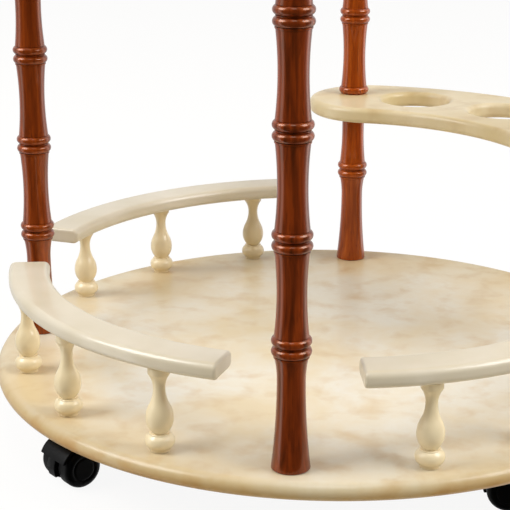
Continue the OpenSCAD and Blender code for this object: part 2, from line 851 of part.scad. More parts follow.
caster_axle(2);  // back_left_caster_axle
caster_wheel(2, 1);  // back_left_caster_wheel_1
caster_wheel(2, -1);  // back_left_caster_wheel_2
caster_plate(3);  // back_right_caster_plate
caster_hood(3);  // back_right_caster_hood
caster_axle(3);  // back_right_caster_axle
caster_wheel(3, 1);  // back_right_caster_wheel_1
caster_wheel(3, -1);  // back_right_caster_wheel_2
leg_joint_studs();
leg_foot_screws();
leg_head_dowels();
caster_screws();
board_screws();
cheese_board();
dome_wall();
dome_cap();
dome_knob();
knob_screw();
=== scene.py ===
# %% [markdown]
# # A round serving trolley with turned legs
#
# The real trolley is a piece of dining furniture: two round shelves painted like
# parchment, four turned legs of red-brown wood, ivory galleries, a curved rack for
# bottles and small black casters. On top stand a cheese board and a clear dome.
#
# Every solid with an exact size was made in CAD. It comes in here as a fixed frame, in
# metres, with +Z up and the floor at zero. This lesson dresses that frame: it sets the
# camera and the light, writes a material for each finish, and rebuilds the turned
# and the rounded pieces as smooth meshes.

# %% Load the frame
import math

import bmesh
import bpy
from mathutils import Matrix, Vector
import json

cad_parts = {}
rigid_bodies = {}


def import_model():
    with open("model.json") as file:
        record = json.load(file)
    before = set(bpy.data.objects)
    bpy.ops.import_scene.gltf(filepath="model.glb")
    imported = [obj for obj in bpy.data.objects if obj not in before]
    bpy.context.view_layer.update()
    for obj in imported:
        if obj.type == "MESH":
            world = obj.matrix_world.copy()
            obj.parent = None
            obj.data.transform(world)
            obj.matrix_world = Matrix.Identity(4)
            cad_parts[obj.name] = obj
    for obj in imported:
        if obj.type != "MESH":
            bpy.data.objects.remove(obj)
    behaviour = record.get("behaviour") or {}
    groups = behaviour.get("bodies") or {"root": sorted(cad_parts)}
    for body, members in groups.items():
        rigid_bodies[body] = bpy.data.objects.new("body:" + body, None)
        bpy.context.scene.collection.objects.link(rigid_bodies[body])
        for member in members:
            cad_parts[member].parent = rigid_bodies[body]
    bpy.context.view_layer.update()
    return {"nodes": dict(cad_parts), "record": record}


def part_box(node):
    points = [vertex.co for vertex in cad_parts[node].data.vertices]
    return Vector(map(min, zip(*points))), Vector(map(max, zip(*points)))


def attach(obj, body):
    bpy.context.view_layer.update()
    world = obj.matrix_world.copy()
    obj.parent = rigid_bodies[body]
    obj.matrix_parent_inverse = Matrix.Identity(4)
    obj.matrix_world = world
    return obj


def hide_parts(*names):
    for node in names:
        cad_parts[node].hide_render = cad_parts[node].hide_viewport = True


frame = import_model()

# %% [markdown]
# The origin lies under the middle of the whole outline. The bottle rack stands out past
# the shelves on two sides, so the axis that the shelves share is about 10 mm off. Nearly
# every piece is drawn about that axis, so it is measured once, on the lower shelf.

# %% Where the shelves' axis stands
MM = 0.001
low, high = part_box("bottom_shelf")
AXIS = ((low[0] + high[0]) / 2 / MM, (low[1] + high[1]) / 2 / MM)
print("axis of the shelves at", [round(v, 2) for v in AXIS], "mm")

# %% [markdown]
# ## Camera
#
# The camera was fitted to points of the photograph whose places are known: leg rings,
# feet of the balusters, ends of the rails. The fit gave the lens, the place and the
# three directions of the camera. A matrix made of those directions is the most exact
# way to write it down, because it needs no aiming afterwards.

# %% Camera
IMAGE_PX = 510
FOCAL_PX = 1572.778
SENSOR_MM, SIGHT_M = 36.0, 60.0
CAMERA_PLACE = Vector((0.139396, -1.594705, 0.667727))
CAMERA_RIGHT = Vector((0.98988573, 0.141867, 0.0))
CAMERA_UP = Vector((-0.04239845, 0.29583781, 0.95429679))

camera = bpy.data.objects.new("camera", bpy.data.cameras.new("camera"))
bpy.context.scene.collection.objects.link(camera)
turn = Matrix((CAMERA_RIGHT, CAMERA_UP, CAMERA_RIGHT.cross(CAMERA_UP))).transposed().to_4x4()
camera.matrix_world = Matrix.Translation(CAMERA_PLACE) @ turn
camera.data.sensor_width = SENSOR_MM
camera.data.lens = FOCAL_PX / IMAGE_PX * SENSOR_MM
camera.data.clip_end = SIGHT_M
bpy.context.scene.camera = camera
print("lens in mm:", round(camera.data.lens, 1))

# %% [markdown]
# ## Colours and nodes
#
# Colours are written as the sRGB hex values that a colour picker shows. Shaders
# calculate in linear light, so one function converts them. A second function adds a
# shader node with its settings and links in one line. The second cell holds the steps
# that the materials share, which keeps each of them short enough to read as a recipe.
# A noise texture wants a scale instead of a size, so its step works that out from the
# width of a patch in millimetres.

# %% Helpers for colours and nodes
def linear(hex_code):
    """An sRGB hex colour such as "#c8a064" as linear red, green, blue and alpha."""
    parts = [int(hex_code[i:i + 2], 16) / 255 for i in (1, 3, 5)]
    bent = [c / 12.92 if c <= 0.04045 else ((c + 0.055) / 1.055) ** 2.4 for c in parts]
    return (*bent, 1.0)


def add(tree, kind, inputs=None, **settings):
    """Adds a node. inputs maps a socket's name or number to a value or to another socket."""
    made = tree.nodes.new(kind)
    for name, value in settings.items():
        setattr(made, name, value)
    for key, value in (inputs or {}).items():
        if isinstance(value, bpy.types.NodeSocket):
            tree.links.new(value, made.inputs[key])
        else:
            made.inputs[key].default_value = value
    return made


def new_material(name):
    """An empty material, and its tree."""
    made = bpy.data.materials.new(name)
    made.use_nodes = True
    made.node_tree.nodes.clear()
    return made, made.node_tree


print("light parchment in linear light:", [round(c, 3) for c in linear("#e5e0d2")])

# %% Steps of a material
def maths(tree, operation, *values):
    """The result of a Math node for these numbers or sockets."""
    return add(tree, "ShaderNodeMath", dict(enumerate(values)), operation=operation).outputs[0]


def ranged(tree, value, low, high, start=0.0, end=1.0):
    """Brings a number from the range start to end into the range low to high."""
    return add(tree, "ShaderNodeMapRange", {"Value": value, "From Min": start, "From Max": end,
                                            "To Min": low, "To Max": high}).outputs[0]


def noise(tree, patch_mm, place=None, **settings):
    """Soft noise. patch_mm is how wide its patches are, or three widths along X, Y and Z.
    It lies in the piece's Object coordinates, unless place is another socket."""
    place = place or add(tree, "ShaderNodeTexCoord").outputs["Object"]
    if isinstance(patch_mm, tuple):
        scales = [1 / (width * MM) for width in patch_mm]
        place = add(tree, "ShaderNodeMapping", {"Vector": place, "Scale": scales}).outputs[0]
        scale = 1.0
    else:
        scale = 1 / (patch_mm * MM)
    return add(tree, "ShaderNodeTexNoise", {"Vector": place, "Scale": scale, **settings}).outputs["Fac"]


def ramp(tree, factor, stops):
    """Blends between colours: stops is a list of (position, hex colour)."""
    made = add(tree, "ShaderNodeValToRGB", {"Fac": factor})
    while len(made.color_ramp.elements) < len(stops):
        made.color_ramp.elements.new(0.5)
    for element, (position, colour) in zip(made.color_ramp.elements, stops):
        element.position = position
        element.color = linear(colour)
    return made.outputs["Color"]


def blend(tree, factor, first, second, mode="MIX"):
    """Goes from one colour to a second. A Mix node has them at 6 and 7, and its result at 2."""
    return add(tree, "ShaderNodeMix", {"Factor": factor, 6: first, 7: second},
               data_type="RGBA", blend_type=mode).outputs[2]


def bump(tree, height, strength, depth_mm):
    """Makes noise look like a relief of this depth."""
    return add(tree, "ShaderNodeBump", {"Height": height, "Strength": strength,
                                        "Distance": depth_mm * MM}).outputs[0]


def surface(tree, inputs):
    """The shader that a material ends in, and its output."""
    shader = add(tree, "ShaderNodeBsdfPrincipled", inputs)
    add(tree, "ShaderNodeOutputMaterial", {"Surface": shader.outputs[0]})


print("steps ready")

# %% [markdown]
# ## Floor, light and background
#
# The photograph has a white ground, as in a studio. Its highlights hint at the lamps:
# each ring of the legs carries one glint left of the middle and one right of it, so two
# large soft lamps seem to have stood well to either side of the camera, somewhat above
# it. The middle of a leg mirrors the side of the room where the camera stood, and it is
# nearly black, so that side was dark. The edges of a leg mirror the white backdrop, and
# a brighter band beside each edge suggests two tall lit screens, one at the left of the
# camera and one at the right behind the trolley.
#
# The world follows this. The camera and the clear dome see plain white. For every other
# ray the world is bright behind the trolley and fades to dark towards the camera, most
# of all for a reflection, and only reflections see the two screens. The direction of a
# ray tells which part of the world it sees: its dot product with the direction of the
# camera's side is the cosine of the angle between them. The floor is white to the
# camera too, and keeps a soft shadow.

# %% World
world = bpy.data.worlds.new("white studio")
bpy.context.scene.world = world
world.use_nodes = True
tree = world.node_tree
tree.nodes.clear()
BACKDROP_FILL, CAMERA_SIDE_FILL = 0.62, 0.1
BACKDROP_GLOSS, CAMERA_SIDE_GLOSS = 0.75, 0.03
# cosines at which the world starts to fade, and at which it has its dark value
FADE_START, FILL_FADE_END, GLOSS_FADE_END = -0.75, 0.35, 0.25
toward_camera = Vector((CAMERA_PLACE.x, CAMERA_PLACE.y, 0)).normalized()
ray = add(tree, "ShaderNodeLightPath")
direction = add(tree, "ShaderNodeTexCoord").outputs["Generated"]
facing = add(tree, "ShaderNodeVectorMath", {0: direction, 1: toward_camera}, operation="DOT_PRODUCT")
facing = facing.outputs["Value"]
fill = ranged(tree, facing, BACKDROP_FILL, CAMERA_SIDE_FILL, FADE_START, FILL_FADE_END)
gloss = ranged(tree, facing, BACKDROP_GLOSS, CAMERA_SIDE_GLOSS, FADE_START, GLOSS_FADE_END)

# the screens: bearings from the camera's side, and degrees from the middle to where the
# full brightness ends and to where the screen does
SCREEN_BEARINGS, SCREEN_GLOSS = (-80, 118), 1.5
SCREEN_CORE, SCREEN_HALF = math.cos(math.radians(6)), math.cos(math.radians(15))
level = add(tree, "ShaderNodeVectorMath", {0: direction, 1: (1.0, 1.0, 0.0)}, operation="MULTIPLY")
level = add(tree, "ShaderNodeVectorMath", {0: level.outputs[0]}, operation="NORMALIZE")
for bearing in SCREEN_BEARINGS:
    toward_screen = Matrix.Rotation(math.radians(bearing), 3, "Z") @ toward_camera
    near = add(tree, "ShaderNodeVectorMath", {0: level.outputs[0], 1: toward_screen},
               operation="DOT_PRODUCT")
    screen = ranged(tree, near.outputs["Value"], 0, SCREEN_GLOSS, SCREEN_HALF, SCREEN_CORE)
    gloss = maths(tree, "ADD", gloss, screen)
# a Mix node for numbers has them at 2 and 3
unseen = add(tree, "ShaderNodeMix", {"Factor": ray.outputs["Is Glossy Ray"], 2: fill, 3: gloss})
seen = maths(tree, "MAXIMUM", ray.outputs["Is Camera Ray"], ray.outputs["Is Transmission Ray"])
strength = add(tree, "ShaderNodeMix", {"Factor": seen, 2: unseen.outputs[0], 3: 1.0})
background = add(tree, "ShaderNodeBackground", {"Color": linear("#ffffff"),
                                                "Strength": strength.outputs[0]})
add(tree, "ShaderNodeOutputWorld", {"Surface": background.outputs[0]})
bpy.context.scene.view_settings.view_transform = "Standard"
print("fill light from the backdrop and from the camera's side:", BACKDROP_FILL, CAMERA_SIDE_FILL)

# %% Floor
FLOOR_SIZE = 24.0
# what the camera sees of the floor is for the most part a white glow, and the rest is lit,
# so only that rest darkens where the trolley keeps the light off
GLOW_SHARE, GLOW = 0.85, 1.08
floor_material, tree = new_material("pale studio floor")
lit = add(tree, "ShaderNodeBsdfDiffuse", {"Color": linear("#c9c4ba")})
glow = add(tree, "ShaderNodeEmission", {"Color": linear("#ffffff"), "Strength": GLOW})
clear = add(tree, "ShaderNodeBsdfTransparent")
ray = add(tree, "ShaderNodeLightPath")
share = maths(tree, "MULTIPLY", ray.outputs["Is Camera Ray"], GLOW_SHARE)
mixed = add(tree, "ShaderNodeMixShader", {0: share, 1: lit.outputs[0], 2: glow.outputs[0]})
# a reflection looks through the floor, so it sees the same dark and bright sides there
passed = add(tree, "ShaderNodeMixShader", {0: ray.outputs["Is Glossy Ray"], 1: mixed.outputs[0],
                                           2: clear.outputs[0]})
add(tree, "ShaderNodeOutputMaterial", {"Surface": passed.outputs[0]})

half = FLOOR_SIZE / 2
mesh = bpy.data.meshes.new("floor")
mesh.from_pydata([(-half, -half, 0), (half, -half, 0), (half, half, 0), (-half, half, 0)], [],
                 [(0, 1, 2, 3)])
floor = bpy.data.objects.new("floor", mesh)
floor.data.materials.append(floor_material)
bpy.context.scene.collection.objects.link(floor)
print("floor:", FLOOR_SIZE, "m square")

# %% Lamps
AIM = Vector((0.0, 0.0, 0.35))
CAMERA_BEARING = math.degrees(math.atan2(CAMERA_PLACE.y, CAMERA_PLACE.x))


def soft_lamp(name, bearing, elevation, distance, size, watts):
    """A rectangular lamp that looks at the trolley. bearing is in degrees from +X."""
    lamp = bpy.data.lights.new(name, "AREA")
    lamp.shape = "RECTANGLE"
    lamp.size, lamp.size_y = size
    lamp.energy = watts
    a, e = math.radians(bearing), math.radians(elevation)
    along = Vector((math.cos(a) * math.cos(e), math.sin(a) * math.cos(e), math.sin(e)))
    place = AIM + distance * along
    facing = (AIM - place).to_track_quat("-Z", "Y").to_matrix().to_4x4()
    holder = bpy.data.objects.new(name, lamp)
    bpy.context.scene.collection.objects.link(holder)
    holder.matrix_world = Matrix.Translation(place) @ facing


# bearing and elevation in degrees, distance and size in metres, and watts
LAMPS = {
    "left lamp": (CAMERA_BEARING - 74, 38, 3.4, (2.0, 1.8), 92),
    "right lamp": (CAMERA_BEARING + 74, 38, 3.4, (2.0, 1.8), 92),
    "front lamp": (CAMERA_BEARING, 60, 3.4, (1.1, 1.1), 14),
    "top lamp": (0, 90, 2.9, (2.2, 2.2), 8)}
for name, settings in LAMPS.items():
    soft_lamp(name, *settings)
print("lamps:", sorted(LAMPS))

# %% [markdown]
# ## Parchment lacquer
#
# The shelves and the rack are boards painted with a clouded cream glaze: soft patches of
# light cream, warm beige and a little tan, under a satin clear lacquer. The painter
# dabs it with a sponge, so there are large clouds some 110 mm wide, smudges of
# about 35 mm and a fine mottle. Three noise textures at those sizes give the same
# layers.
#
# The colour turns darker towards a shelf's border and most of all on the lower side
# of its edge, to a deeper honey brown. Down the edge this is partly a deeper glaze and
# partly painted shade, where the bullnose turns down away from the light. On the back
# half of the top it is painted shade from the rack and the galleries. The shelf's mesh
# carries a number named edge that says where, and the smudges break up its outline. It
# tints what lies below, so it is mixed in by multiplying.

# %% Parchment lacquer
CLOUD_MM, SMUDGE_MM, MOTTLE_MM = 110, 34, 8
MOST_SMUDGE, MOST_MOTTLE = 0.6, 0.18
# tints for the number named edge, which is deeper glaze and painted shade
GLAZE_AND_SHADE_STOPS = [(0.0, "#ffffff"), (0.5, "#e8dbbf"), (1.0, "#e2c085")]


def parchment_lacquer(name, light="#e5e0d2", middle="#dfceab", dark="#cbaa77"):
    made, tree = new_material(name)
    clouds = noise(tree, CLOUD_MM, Detail=4.0, Roughness=0.55, Distortion=0.25)
    smudges = noise(tree, SMUDGE_MM, Detail=3.0, Roughness=0.5, Distortion=0.2)
    mottle = noise(tree, MOTTLE_MM, Detail=3.0, Roughness=0.6)

    colour = ramp(tree, clouds, [(0.36, middle), (0.62, light)])
    colour = blend(tree, ranged(tree, smudges, 0, MOST_SMUDGE, 0.5, 0.78), colour, linear(dark))
    colour = blend(tree, ranged(tree, mottle, 0, MOST_MOTTLE, 0.35, 0.7), colour, linear(middle))

    # the number named edge: darker towards the border, deeper glaze with painted shade down the edge,
    # painted shade on the back half
    edge = add(tree, "ShaderNodeAttribute", attribute_name="edge").outputs["Fac"]
    reach = maths(tree, "MULTIPLY", edge, maths(tree, "ADD", smudges, 0.6))
    colour = blend(tree, 1.0, colour, ramp(tree, reach, GLAZE_AND_SHADE_STOPS), mode="MULTIPLY")
    surface(tree, {
        "Base Color": colour, "Roughness": ranged(tree, smudges, 0.3, 0.42),
        "Normal": bump(tree, mottle, 0.05, 0.4), "Specular IOR Level": 0.35, "Coat Weight": 0.22,
        "Coat Roughness": 0.14, "IOR": 1.5})
    return made


shelf_lacquer = parchment_lacquer("parchment lacquer")
rack_lacquer = parchment_lacquer("parchment lacquer darker", "#e8d9b6", "#dcc898", "#bd9a62")
print("made:", shelf_lacquer.name, "and", rack_lacquer.name)

# %% [markdown]
# ## Ivory lacquer
#
# Rails and balusters are sprayed with one opaque ivory lacquer and rubbed to a satin
# gloss. Up close such a film is never one colour: it is a trace warmer where it is thin,
# and it carries the faint orange peel of the spray gun, about 3 mm from crest to crest. The
# turned balusters get a lighter, yellower colour all over, which is painted warm light
# bounced up from the shelf. Their mesh carries a number named turned that says where.

# %% Ivory lacquer
DRIFT_MM, PEEL_MM = 60, 3
ivory_lacquer, tree = new_material("ivory lacquer")
drift = noise(tree, DRIFT_MM, Detail=3.0)
peel = noise(tree, PEEL_MM, Detail=1.0)
turned = add(tree, "ShaderNodeAttribute", attribute_name="turned").outputs["Fac"]
rail_colour = ramp(tree, drift, [(0.3, "#d6caaf"), (0.7, "#e0d6c1")])
# the balusters' colour: lighter and yellower, as painted warm bounce light from the shelf
painted_bounce_colour = ramp(tree, drift, [(0.3, "#ecd9ae"), (0.7, "#f3e2bc")])
surface(tree, {
    "Base Color": blend(tree, turned, rail_colour, painted_bounce_colour),
    "Roughness": ranged(tree, drift, 0.34, 0.46), "Normal": bump(tree, peel, 0.06, 0.3),
    "Coat Weight": 0.55, "Coat Roughness": 0.11, "IOR": 1.5})
print("made:", ivory_lacquer.name)

# %% [markdown]
# ## Stained, turned hardwood
#
# The legs are a close-grained hardwood, stained the red-brown of mahogany and lacquered
# to a high gloss. The grain runs along the leg, so every noise here is stretched along Z.
# Broad streaks a few millimetres wide carry the light and dark wood, and thin dark
# pores lie in them. The clear coat on top gives the sharp glints on the rings, and the
# stained lacquer below it reflects in orange. A number named stain on each leg's mesh
# leads from the dark tones to the pale ones, and it differs from leg to leg.

# %% Turned hardwood
# widths of a streak and of a pore along X, Y and the grain
STREAK_MM, LEG_PORE_MM = (5, 5, 120), (1.2, 1.2, 30)
TONES_AT = (0.3, 0.5, 0.72)


def stained_wood(name, tones, pale=None):
    """Wood in three tones, dark to light. Where the number named stain is 1, it has the pale tones."""
    made, tree = new_material(name)
    streaks = noise(tree, STREAK_MM, Detail=4.0, Roughness=0.6, Distortion=0.5)
    pores = noise(tree, LEG_PORE_MM, Detail=2.0)
    wood = ramp(tree, streaks, list(zip(TONES_AT, tones)))
    if pale:
        stain = add(tree, "ShaderNodeAttribute", attribute_name="stain").outputs["Fac"]
        wood = blend(tree, stain, wood, ramp(tree, streaks, list(zip(TONES_AT, pale))))
    wood = blend(tree, ranged(tree, pores, 0, 0.5, 0.58, 0.7), wood, linear(tones[0]))
    surface(tree, {
        "Base Color": wood, "Roughness": ranged(tree, streaks, 0.3, 0.42),
        "Normal": bump(tree, pores, 0.05, 0.2), "Specular IOR Level": 0.9,
        "Specular Tint": linear("#ff9a4a"), "Coat Weight": 0.6, "Coat Roughness": 0.07, "IOR": 1.5})
    return made


leg_wood = stained_wood("stained hardwood under gloss lacquer", ("#431604", "#6a2507", "#90390c"),
                        pale=("#7a2e0a", "#a0440e", "#b85916"))
dowel_wood = stained_wood("plain beech", ("#c09a6c", "#d4b184", "#e0c49c"))
print("made:", leg_wood.name, dowel_wood.name)

# %% [markdown]
# ## A board glued up from staves
#
# A wide wooden board warps, so a joiner glues it up from staves 46 mm wide and lays their
# grain different ways round. Each stave has its own tone. Dividing the place across the
# board by the stave's width and dropping the decimals gives the stave's number, and a
# white noise of that number is the same all over one stave. It sets the tone
# and shifts the grain, so that no line of grain runs on into the next stave.

# %% Staved cherry
STAVE_W, JOINT_SHARE, JOINT_DARKNESS = 46.0, 0.012, 0.6
BOARD_GRAIN_MM, BOARD_PORE_MM = (130, 6, 12), (20, 0.8, 0.8)
# how far the grain of one stave is moved against the next, in metres
GRAIN_SHIFT = 0.37
board_wood, tree = new_material("oiled cherry staves")
place = add(tree, "ShaderNodeTexCoord").outputs["Object"]
across = add(tree, "ShaderNodeSeparateXYZ", {0: place}).outputs["Y"]
number = maths(tree, "DIVIDE", across, STAVE_W * MM)
stave = maths(tree, "FLOOR", number)
tone = add(tree, "ShaderNodeTexWhiteNoise", {"W": stave}, noise_dimensions="1D").outputs["Value"]
shift = maths(tree, "MULTIPLY", stave, GRAIN_SHIFT)
moved = add(tree, "ShaderNodeCombineXYZ", {"X": shift, "Z": shift})
shifted = add(tree, "ShaderNodeVectorMath", {0: place, 1: moved.outputs[0]}, operation="ADD").outputs[0]
grain = noise(tree, BOARD_GRAIN_MM, shifted, Detail=5.0, Roughness=0.6, Distortion=0.6)
pores = noise(tree, BOARD_PORE_MM, shifted, Detail=2.0)

wood = ramp(tree, grain, [(0.3, "#8d4f27"), (0.52, "#a9673a"), (0.74, "#c08450")])
wood = blend(tree, ranged(tree, tone, 0, 0.45), wood, linear("#8a4a26"))
joint = maths(tree, "LESS_THAN", maths(tree, "FRACT", number), JOINT_SHARE)
wood = blend(tree, maths(tree, "MULTIPLY", joint, JOINT_DARKNESS), wood, linear("#4a2412"))
surface(tree, {"Base Color": wood, "Roughness": ranged(tree, grain, 0.42, 0.56),
               "Normal": bump(tree, pores, 0.12, 0.3)})
print("made:", board_wood.name)

# %% [markdown]
# ## Caster plastic, steel and acrylic
#
# The casters are injection moulded, the hood in a glossy plastic and the wheels in a duller
# one. A moulded face has the fine texture of its steel mould, about a millimetre
# wide, and it dulls in patches where hands and dust touch it. Zinc plating shows
# crystals of about 2 mm. Metals here are fully metallic, so their colour is the
# colour of the reflection.

# %% Moulded black plastic
MOULD_TEXTURE_MM, WEAR_MM = 1.2, 12


def moulded_plastic(name, colour, roughness):
    made, tree = new_material(name)
    texture = noise(tree, MOULD_TEXTURE_MM, Detail=2.0)
    wear = noise(tree, WEAR_MM, Detail=4.0)
    surface(tree, {
        "Base Color": ramp(tree, wear, [(0.3, colour), (0.8, "#0b0b0c")]),
        "Roughness": ranged(tree, wear, roughness - 0.08, roughness + 0.12),
        "Normal": bump(tree, texture, 0.12, 0.2), "Specular IOR Level": 0.14, "IOR": 1.49})
    return made


hood_plastic = moulded_plastic("black ABS", "#030303", 0.42)
wheel_plastic = moulded_plastic("black polyamide", "#040404", 0.46)
print("made:", hood_plastic.name, wheel_plastic.name)

# %% Steel
SPANGLE_MM = 2


def plated_steel(name, colour, roughness):
    made, tree = new_material(name)
    spangle = noise(tree, SPANGLE_MM, Detail=3.0)
    surface(tree, {
        "Base Color": ramp(tree, spangle, [(0.3, colour), (0.7, "#d4d3cc")]), "Metallic": 1.0,
        "Roughness": ranged(tree, spangle, roughness - 0.1, roughness + 0.1)})
    return made


zinc_steel = plated_steel("zinc plated steel", "#b3b2ab", 0.34)
drawn_steel = plated_steel("drawn steel", "#a5a6a8", 0.28)
black_steel = moulded_plastic("black lacquered steel", "#101010", 0.42)
print("made:", zinc_steel.name, drawn_steel.name, black_steel.name)

# %% Acrylic
# A clear thermoplastic, polished by flame. Only its gloss varies, where it was wiped.
WIPE_MM = 50
clear_acrylic, tree = new_material("pressed clear acrylic")
wipe = noise(tree, WIPE_MM, Detail=3.0)
surface(tree, {"Base Color": linear("#f6fafa"), "Roughness": ranged(tree, wipe, 0, 0.035),
               "Transmission Weight": 1.0, "IOR": 1.49})
print("made:", clear_acrylic.name)

# %% [markdown]
# ## Every node gets its finish
#
# The record names a material slot for each CAD node. A table from slot to material
# dresses them all in one loop. Nodes that get a finer piece further down are hidden
# behind it, and the others, such as plates, axles and screws, are shown as they are.

# %% Materials of the CAD nodes
finish_of_slot = {
    "shelf_lacquer": shelf_lacquer, "rack_lacquer": rack_lacquer, "gallery_lacquer": ivory_lacquer,
    "leg_wood": leg_wood, "board_wood": board_wood, "dowel_wood": dowel_wood,
    "clear_acrylic": clear_acrylic, "caster_plastic": hood_plastic, "wheel_plastic": wheel_plastic,
    "caster_steel": black_steel, "axle_steel": drawn_steel, "fastener_steel": zinc_steel}
slot_of_node = {s["node"]: s["material_slot"] for s in frame["record"]["subparts"]}
for name, node in frame["nodes"].items():
    for holder in node.material_slots:
        holder.material = finish_of_slot[slot_of_node[name]]
print("dressed", len(slot_of_node), "nodes")

# %% [markdown]
# ## A lathe for round pieces
#
# Legs, balusters, shelves, board, knob and dome are all round about an axis. A wood turner
# makes them with a template: half of the outline. The lathe here does the same. It takes
# points (radius, height) from the bottom up and turns them round Z. A point on the axis
# becomes one vertex, so both poles are closed. A hollow piece such as the dome is a loop
# that never touches the axis. The Screw modifier could do this too, but a few lines
# of mesh code keep the seam closed and the faces pointing outwards.

# %% The lathe
SAME_POINT, ON_AXIS = 0.01, 0.005


def arc(centre, radius, start, end, steps):
    """Points of a circular arc as (r, z). Angles are in degrees, 0 along +r and 90 along +z."""
    turns = [math.radians(start + (end - start) * i / steps) for i in range(steps + 1)]
    return [(centre[0] + radius * math.cos(t), centre[1] + radius * math.sin(t)) for t in turns]


def without_repeats(points):
    """Drops a point that lies on the one before it."""
    kept = [points[0]]
    for point in points[1:]:
        if math.dist(point, kept[-1]) > SAME_POINT:
            kept.append(point)
    return kept


def lathe(name, template, segments=64, hollow_loop=False):
    """Turns a template in millimetres into a closed mesh about Z."""
    shape = bmesh.new()
    rings = []
    for r, z in without_repeats(template):
        if r < ON_AXIS:
            rings.append([shape.verts.new((0, 0, z * MM))])
            continue
        turns = [2 * math.pi * i / segments for i in range(segments)]
        rings.append([shape.verts.new((r * MM * math.cos(a), r * MM * math.sin(a), z * MM))
                      for a in turns])
    if hollow_loop:
        rings.append(rings[0])
    for low, high in zip(rings, rings[1:]):
        for i in range(segments):
            j = (i + 1) % segments
            if len(low) == 1:
                shape.faces.new((low[0], high[j], high[i]))
            elif len(high) == 1:
                shape.faces.new((low[i], low[j], high[0]))
            else:
                shape.faces.new((low[i], low[j], high[j], high[i]))
    return finished(name, shape)


def finished(name, shape, crease=38):
    """Writes a bmesh to an object. It is smooth but for edges that bend by over crease degrees."""
    bmesh.ops.recalc_face_normals(shape, faces=shape.faces)
    for face in shape.faces:
        face.smooth = True
    for edge in shape.edges:
        edge.smooth = edge.is_manifold and edge.calc_face_angle(0.0) < math.radians(crease)
    mesh = bpy.data.meshes.new(name)
    shape.to_mesh(mesh)
    shape.free()
    made = bpy.data.objects.new(name, mesh)
    bpy.context.scene.collection.objects.link(made)
    return made


def placed(piece, x=0.0, y=0.0, z=0.0, turn=0.0):
    """Turns the mesh about Z and moves it to a place given in millimetres from the
    shelves' axis and the floor. The object itself stays at the origin."""
    spot = Matrix.Translation(((AXIS[0] + x) * MM, (AXIS[1] + y) * MM, z * MM))
    piece.data.transform(spot @ Matrix.Rotation(math.radians(turn), 4, "Z"))
    return piece


def copied(piece, name):
    """A second object with a mesh of its own."""
    made = bpy.data.objects.new(name, piece.data.copy())
    bpy.context.scene.collection.objects.link(made)
    return made


def marked(piece, name, value):
    """Gives every point of a mesh the same number, for its material to read."""
    number = piece.data.attributes.new(name, "FLOAT", "POINT")
    number.data.foreach_set("value", [value] * len(number.data))
    return piece


def joined(name, *parts):
    """Makes one object of several finished ones."""
    shape = bmesh.new()
    for part in parts:
        shape.from_mesh(part.data)
        bpy.data.objects.remove(part)
    return finished(name, shape)


def dressed(piece, material, body, slot, *nodes):
    """Gives a finished piece its material and its body, and hides the CAD nodes that it stands for."""
    piece.data.materials.clear()
    piece.data.materials.append(material)
    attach(piece, body)
    if nodes:
        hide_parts(*nodes)
    return piece


print("lathe ready")

# %% [markdown]
# ## Geometry Nodes in a few lines
#
# Pieces that repeat or follow a path are made with Geometry Nodes. Each tree is a node
# group with named inputs, so its sizes can be changed in the modifier. The helper below
# starts such a group, and a second one runs it on an object and keeps the result as a
# plain mesh.

# %% Helpers for Geometry Nodes
SOCKETS = {"number": "NodeSocketFloat", "count": "NodeSocketInt", "object": "NodeSocketObject",
           "material": "NodeSocketMaterial"}


def new_tree(name, **inputs):
    """A geometry tree with named inputs. Returns it with its input and output nodes."""
    tree = bpy.data.node_groups.new(name, "GeometryNodeTree")
    tree.is_modifier = True
    tree.interface.new_socket("Geometry", in_out="INPUT", socket_type="NodeSocketGeometry")
    for label, kind in inputs.items():
        tree.interface.new_socket(label.replace("_", " "), in_out="INPUT", socket_type=SOCKETS[kind])
    tree.interface.new_socket("Geometry", in_out="OUTPUT", socket_type="NodeSocketGeometry")
    return tree, tree.nodes.new("NodeGroupInput"), tree.nodes.new("NodeGroupOutput")


def grown(name, tree, start=None, **values):
    """Runs a tree on a copy of start, or on an empty mesh, and keeps the result as a plain mesh."""
    mesh = start.data.copy() if start else bpy.data.meshes.new(name + "_seed")
    seed = bpy.data.objects.new(name + "_seed", mesh)
    bpy.context.scene.collection.objects.link(seed)
    modifier = seed.modifiers.new(tree.name, "NODES")
    modifier.node_group = tree
    sockets = [s for s in tree.interface.items_tree if s.in_out == "INPUT"]
    named = {s.name.replace(" ", "_"): s.identifier for s in sockets}
    for label, value in values.items():
        modifier[named[label]] = value
    bpy.context.view_layer.update()
    graph = bpy.context.evaluated_depsgraph_get()
    result = bpy.data.meshes.new_from_object(seed.evaluated_get(graph))
    result.name = name
    made = bpy.data.objects.new(name, result)
    bpy.context.scene.collection.objects.link(made)
    bpy.data.objects.remove(seed)
    return made


print("kinds of input:", sorted(SOCKETS))

# %% [markdown]
# ## Legs
#
# Each leg imitates a bamboo cane: a pair of rounded rings with a groove between them at
# every node, and a waisted stretch from node to node. It is turned in two sections that
# meet at the second node. The turner's rule is simple: the same node comes back every
# 95.5 mm. So the foot, the node and the head are turned on the lathe once, and a tree
# repeats the node up the leg.

# %% The turner's sizes of a leg, in millimetres
FLOOR_TO_DECK, SHELF_T, RACK_T = 70.0, 18.0, 18.0
LEG_CIRCLE = 315.0
FOOT_H, PITCH, NODES_PER_LEG = 115.5, 95.5, 6
RING_R, RING_OFFSET, NODE_R, GROOVE_R = 4.4, 4.85, 18.0, 15.5
SWELL_R, WAIST_R, FOOT_R, FOOT_WAIST_R, FOOT_WAIST_Z = 15.5, 13.3, 17.8, 12.8, 83.5
SHOULDER_H, SHOULDER_W, GROOVE_HALF_H = 1.4, 0.5, 0.35
NODE_HALF_H = RING_OFFSET + RING_R
LEG_H = 2 * FOOT_H + (NODES_PER_LEG - 1) * PITCH
TOP_DECK = FLOOR_TO_DECK + LEG_H + SHELF_T
LEG_SEGMENTS = 72


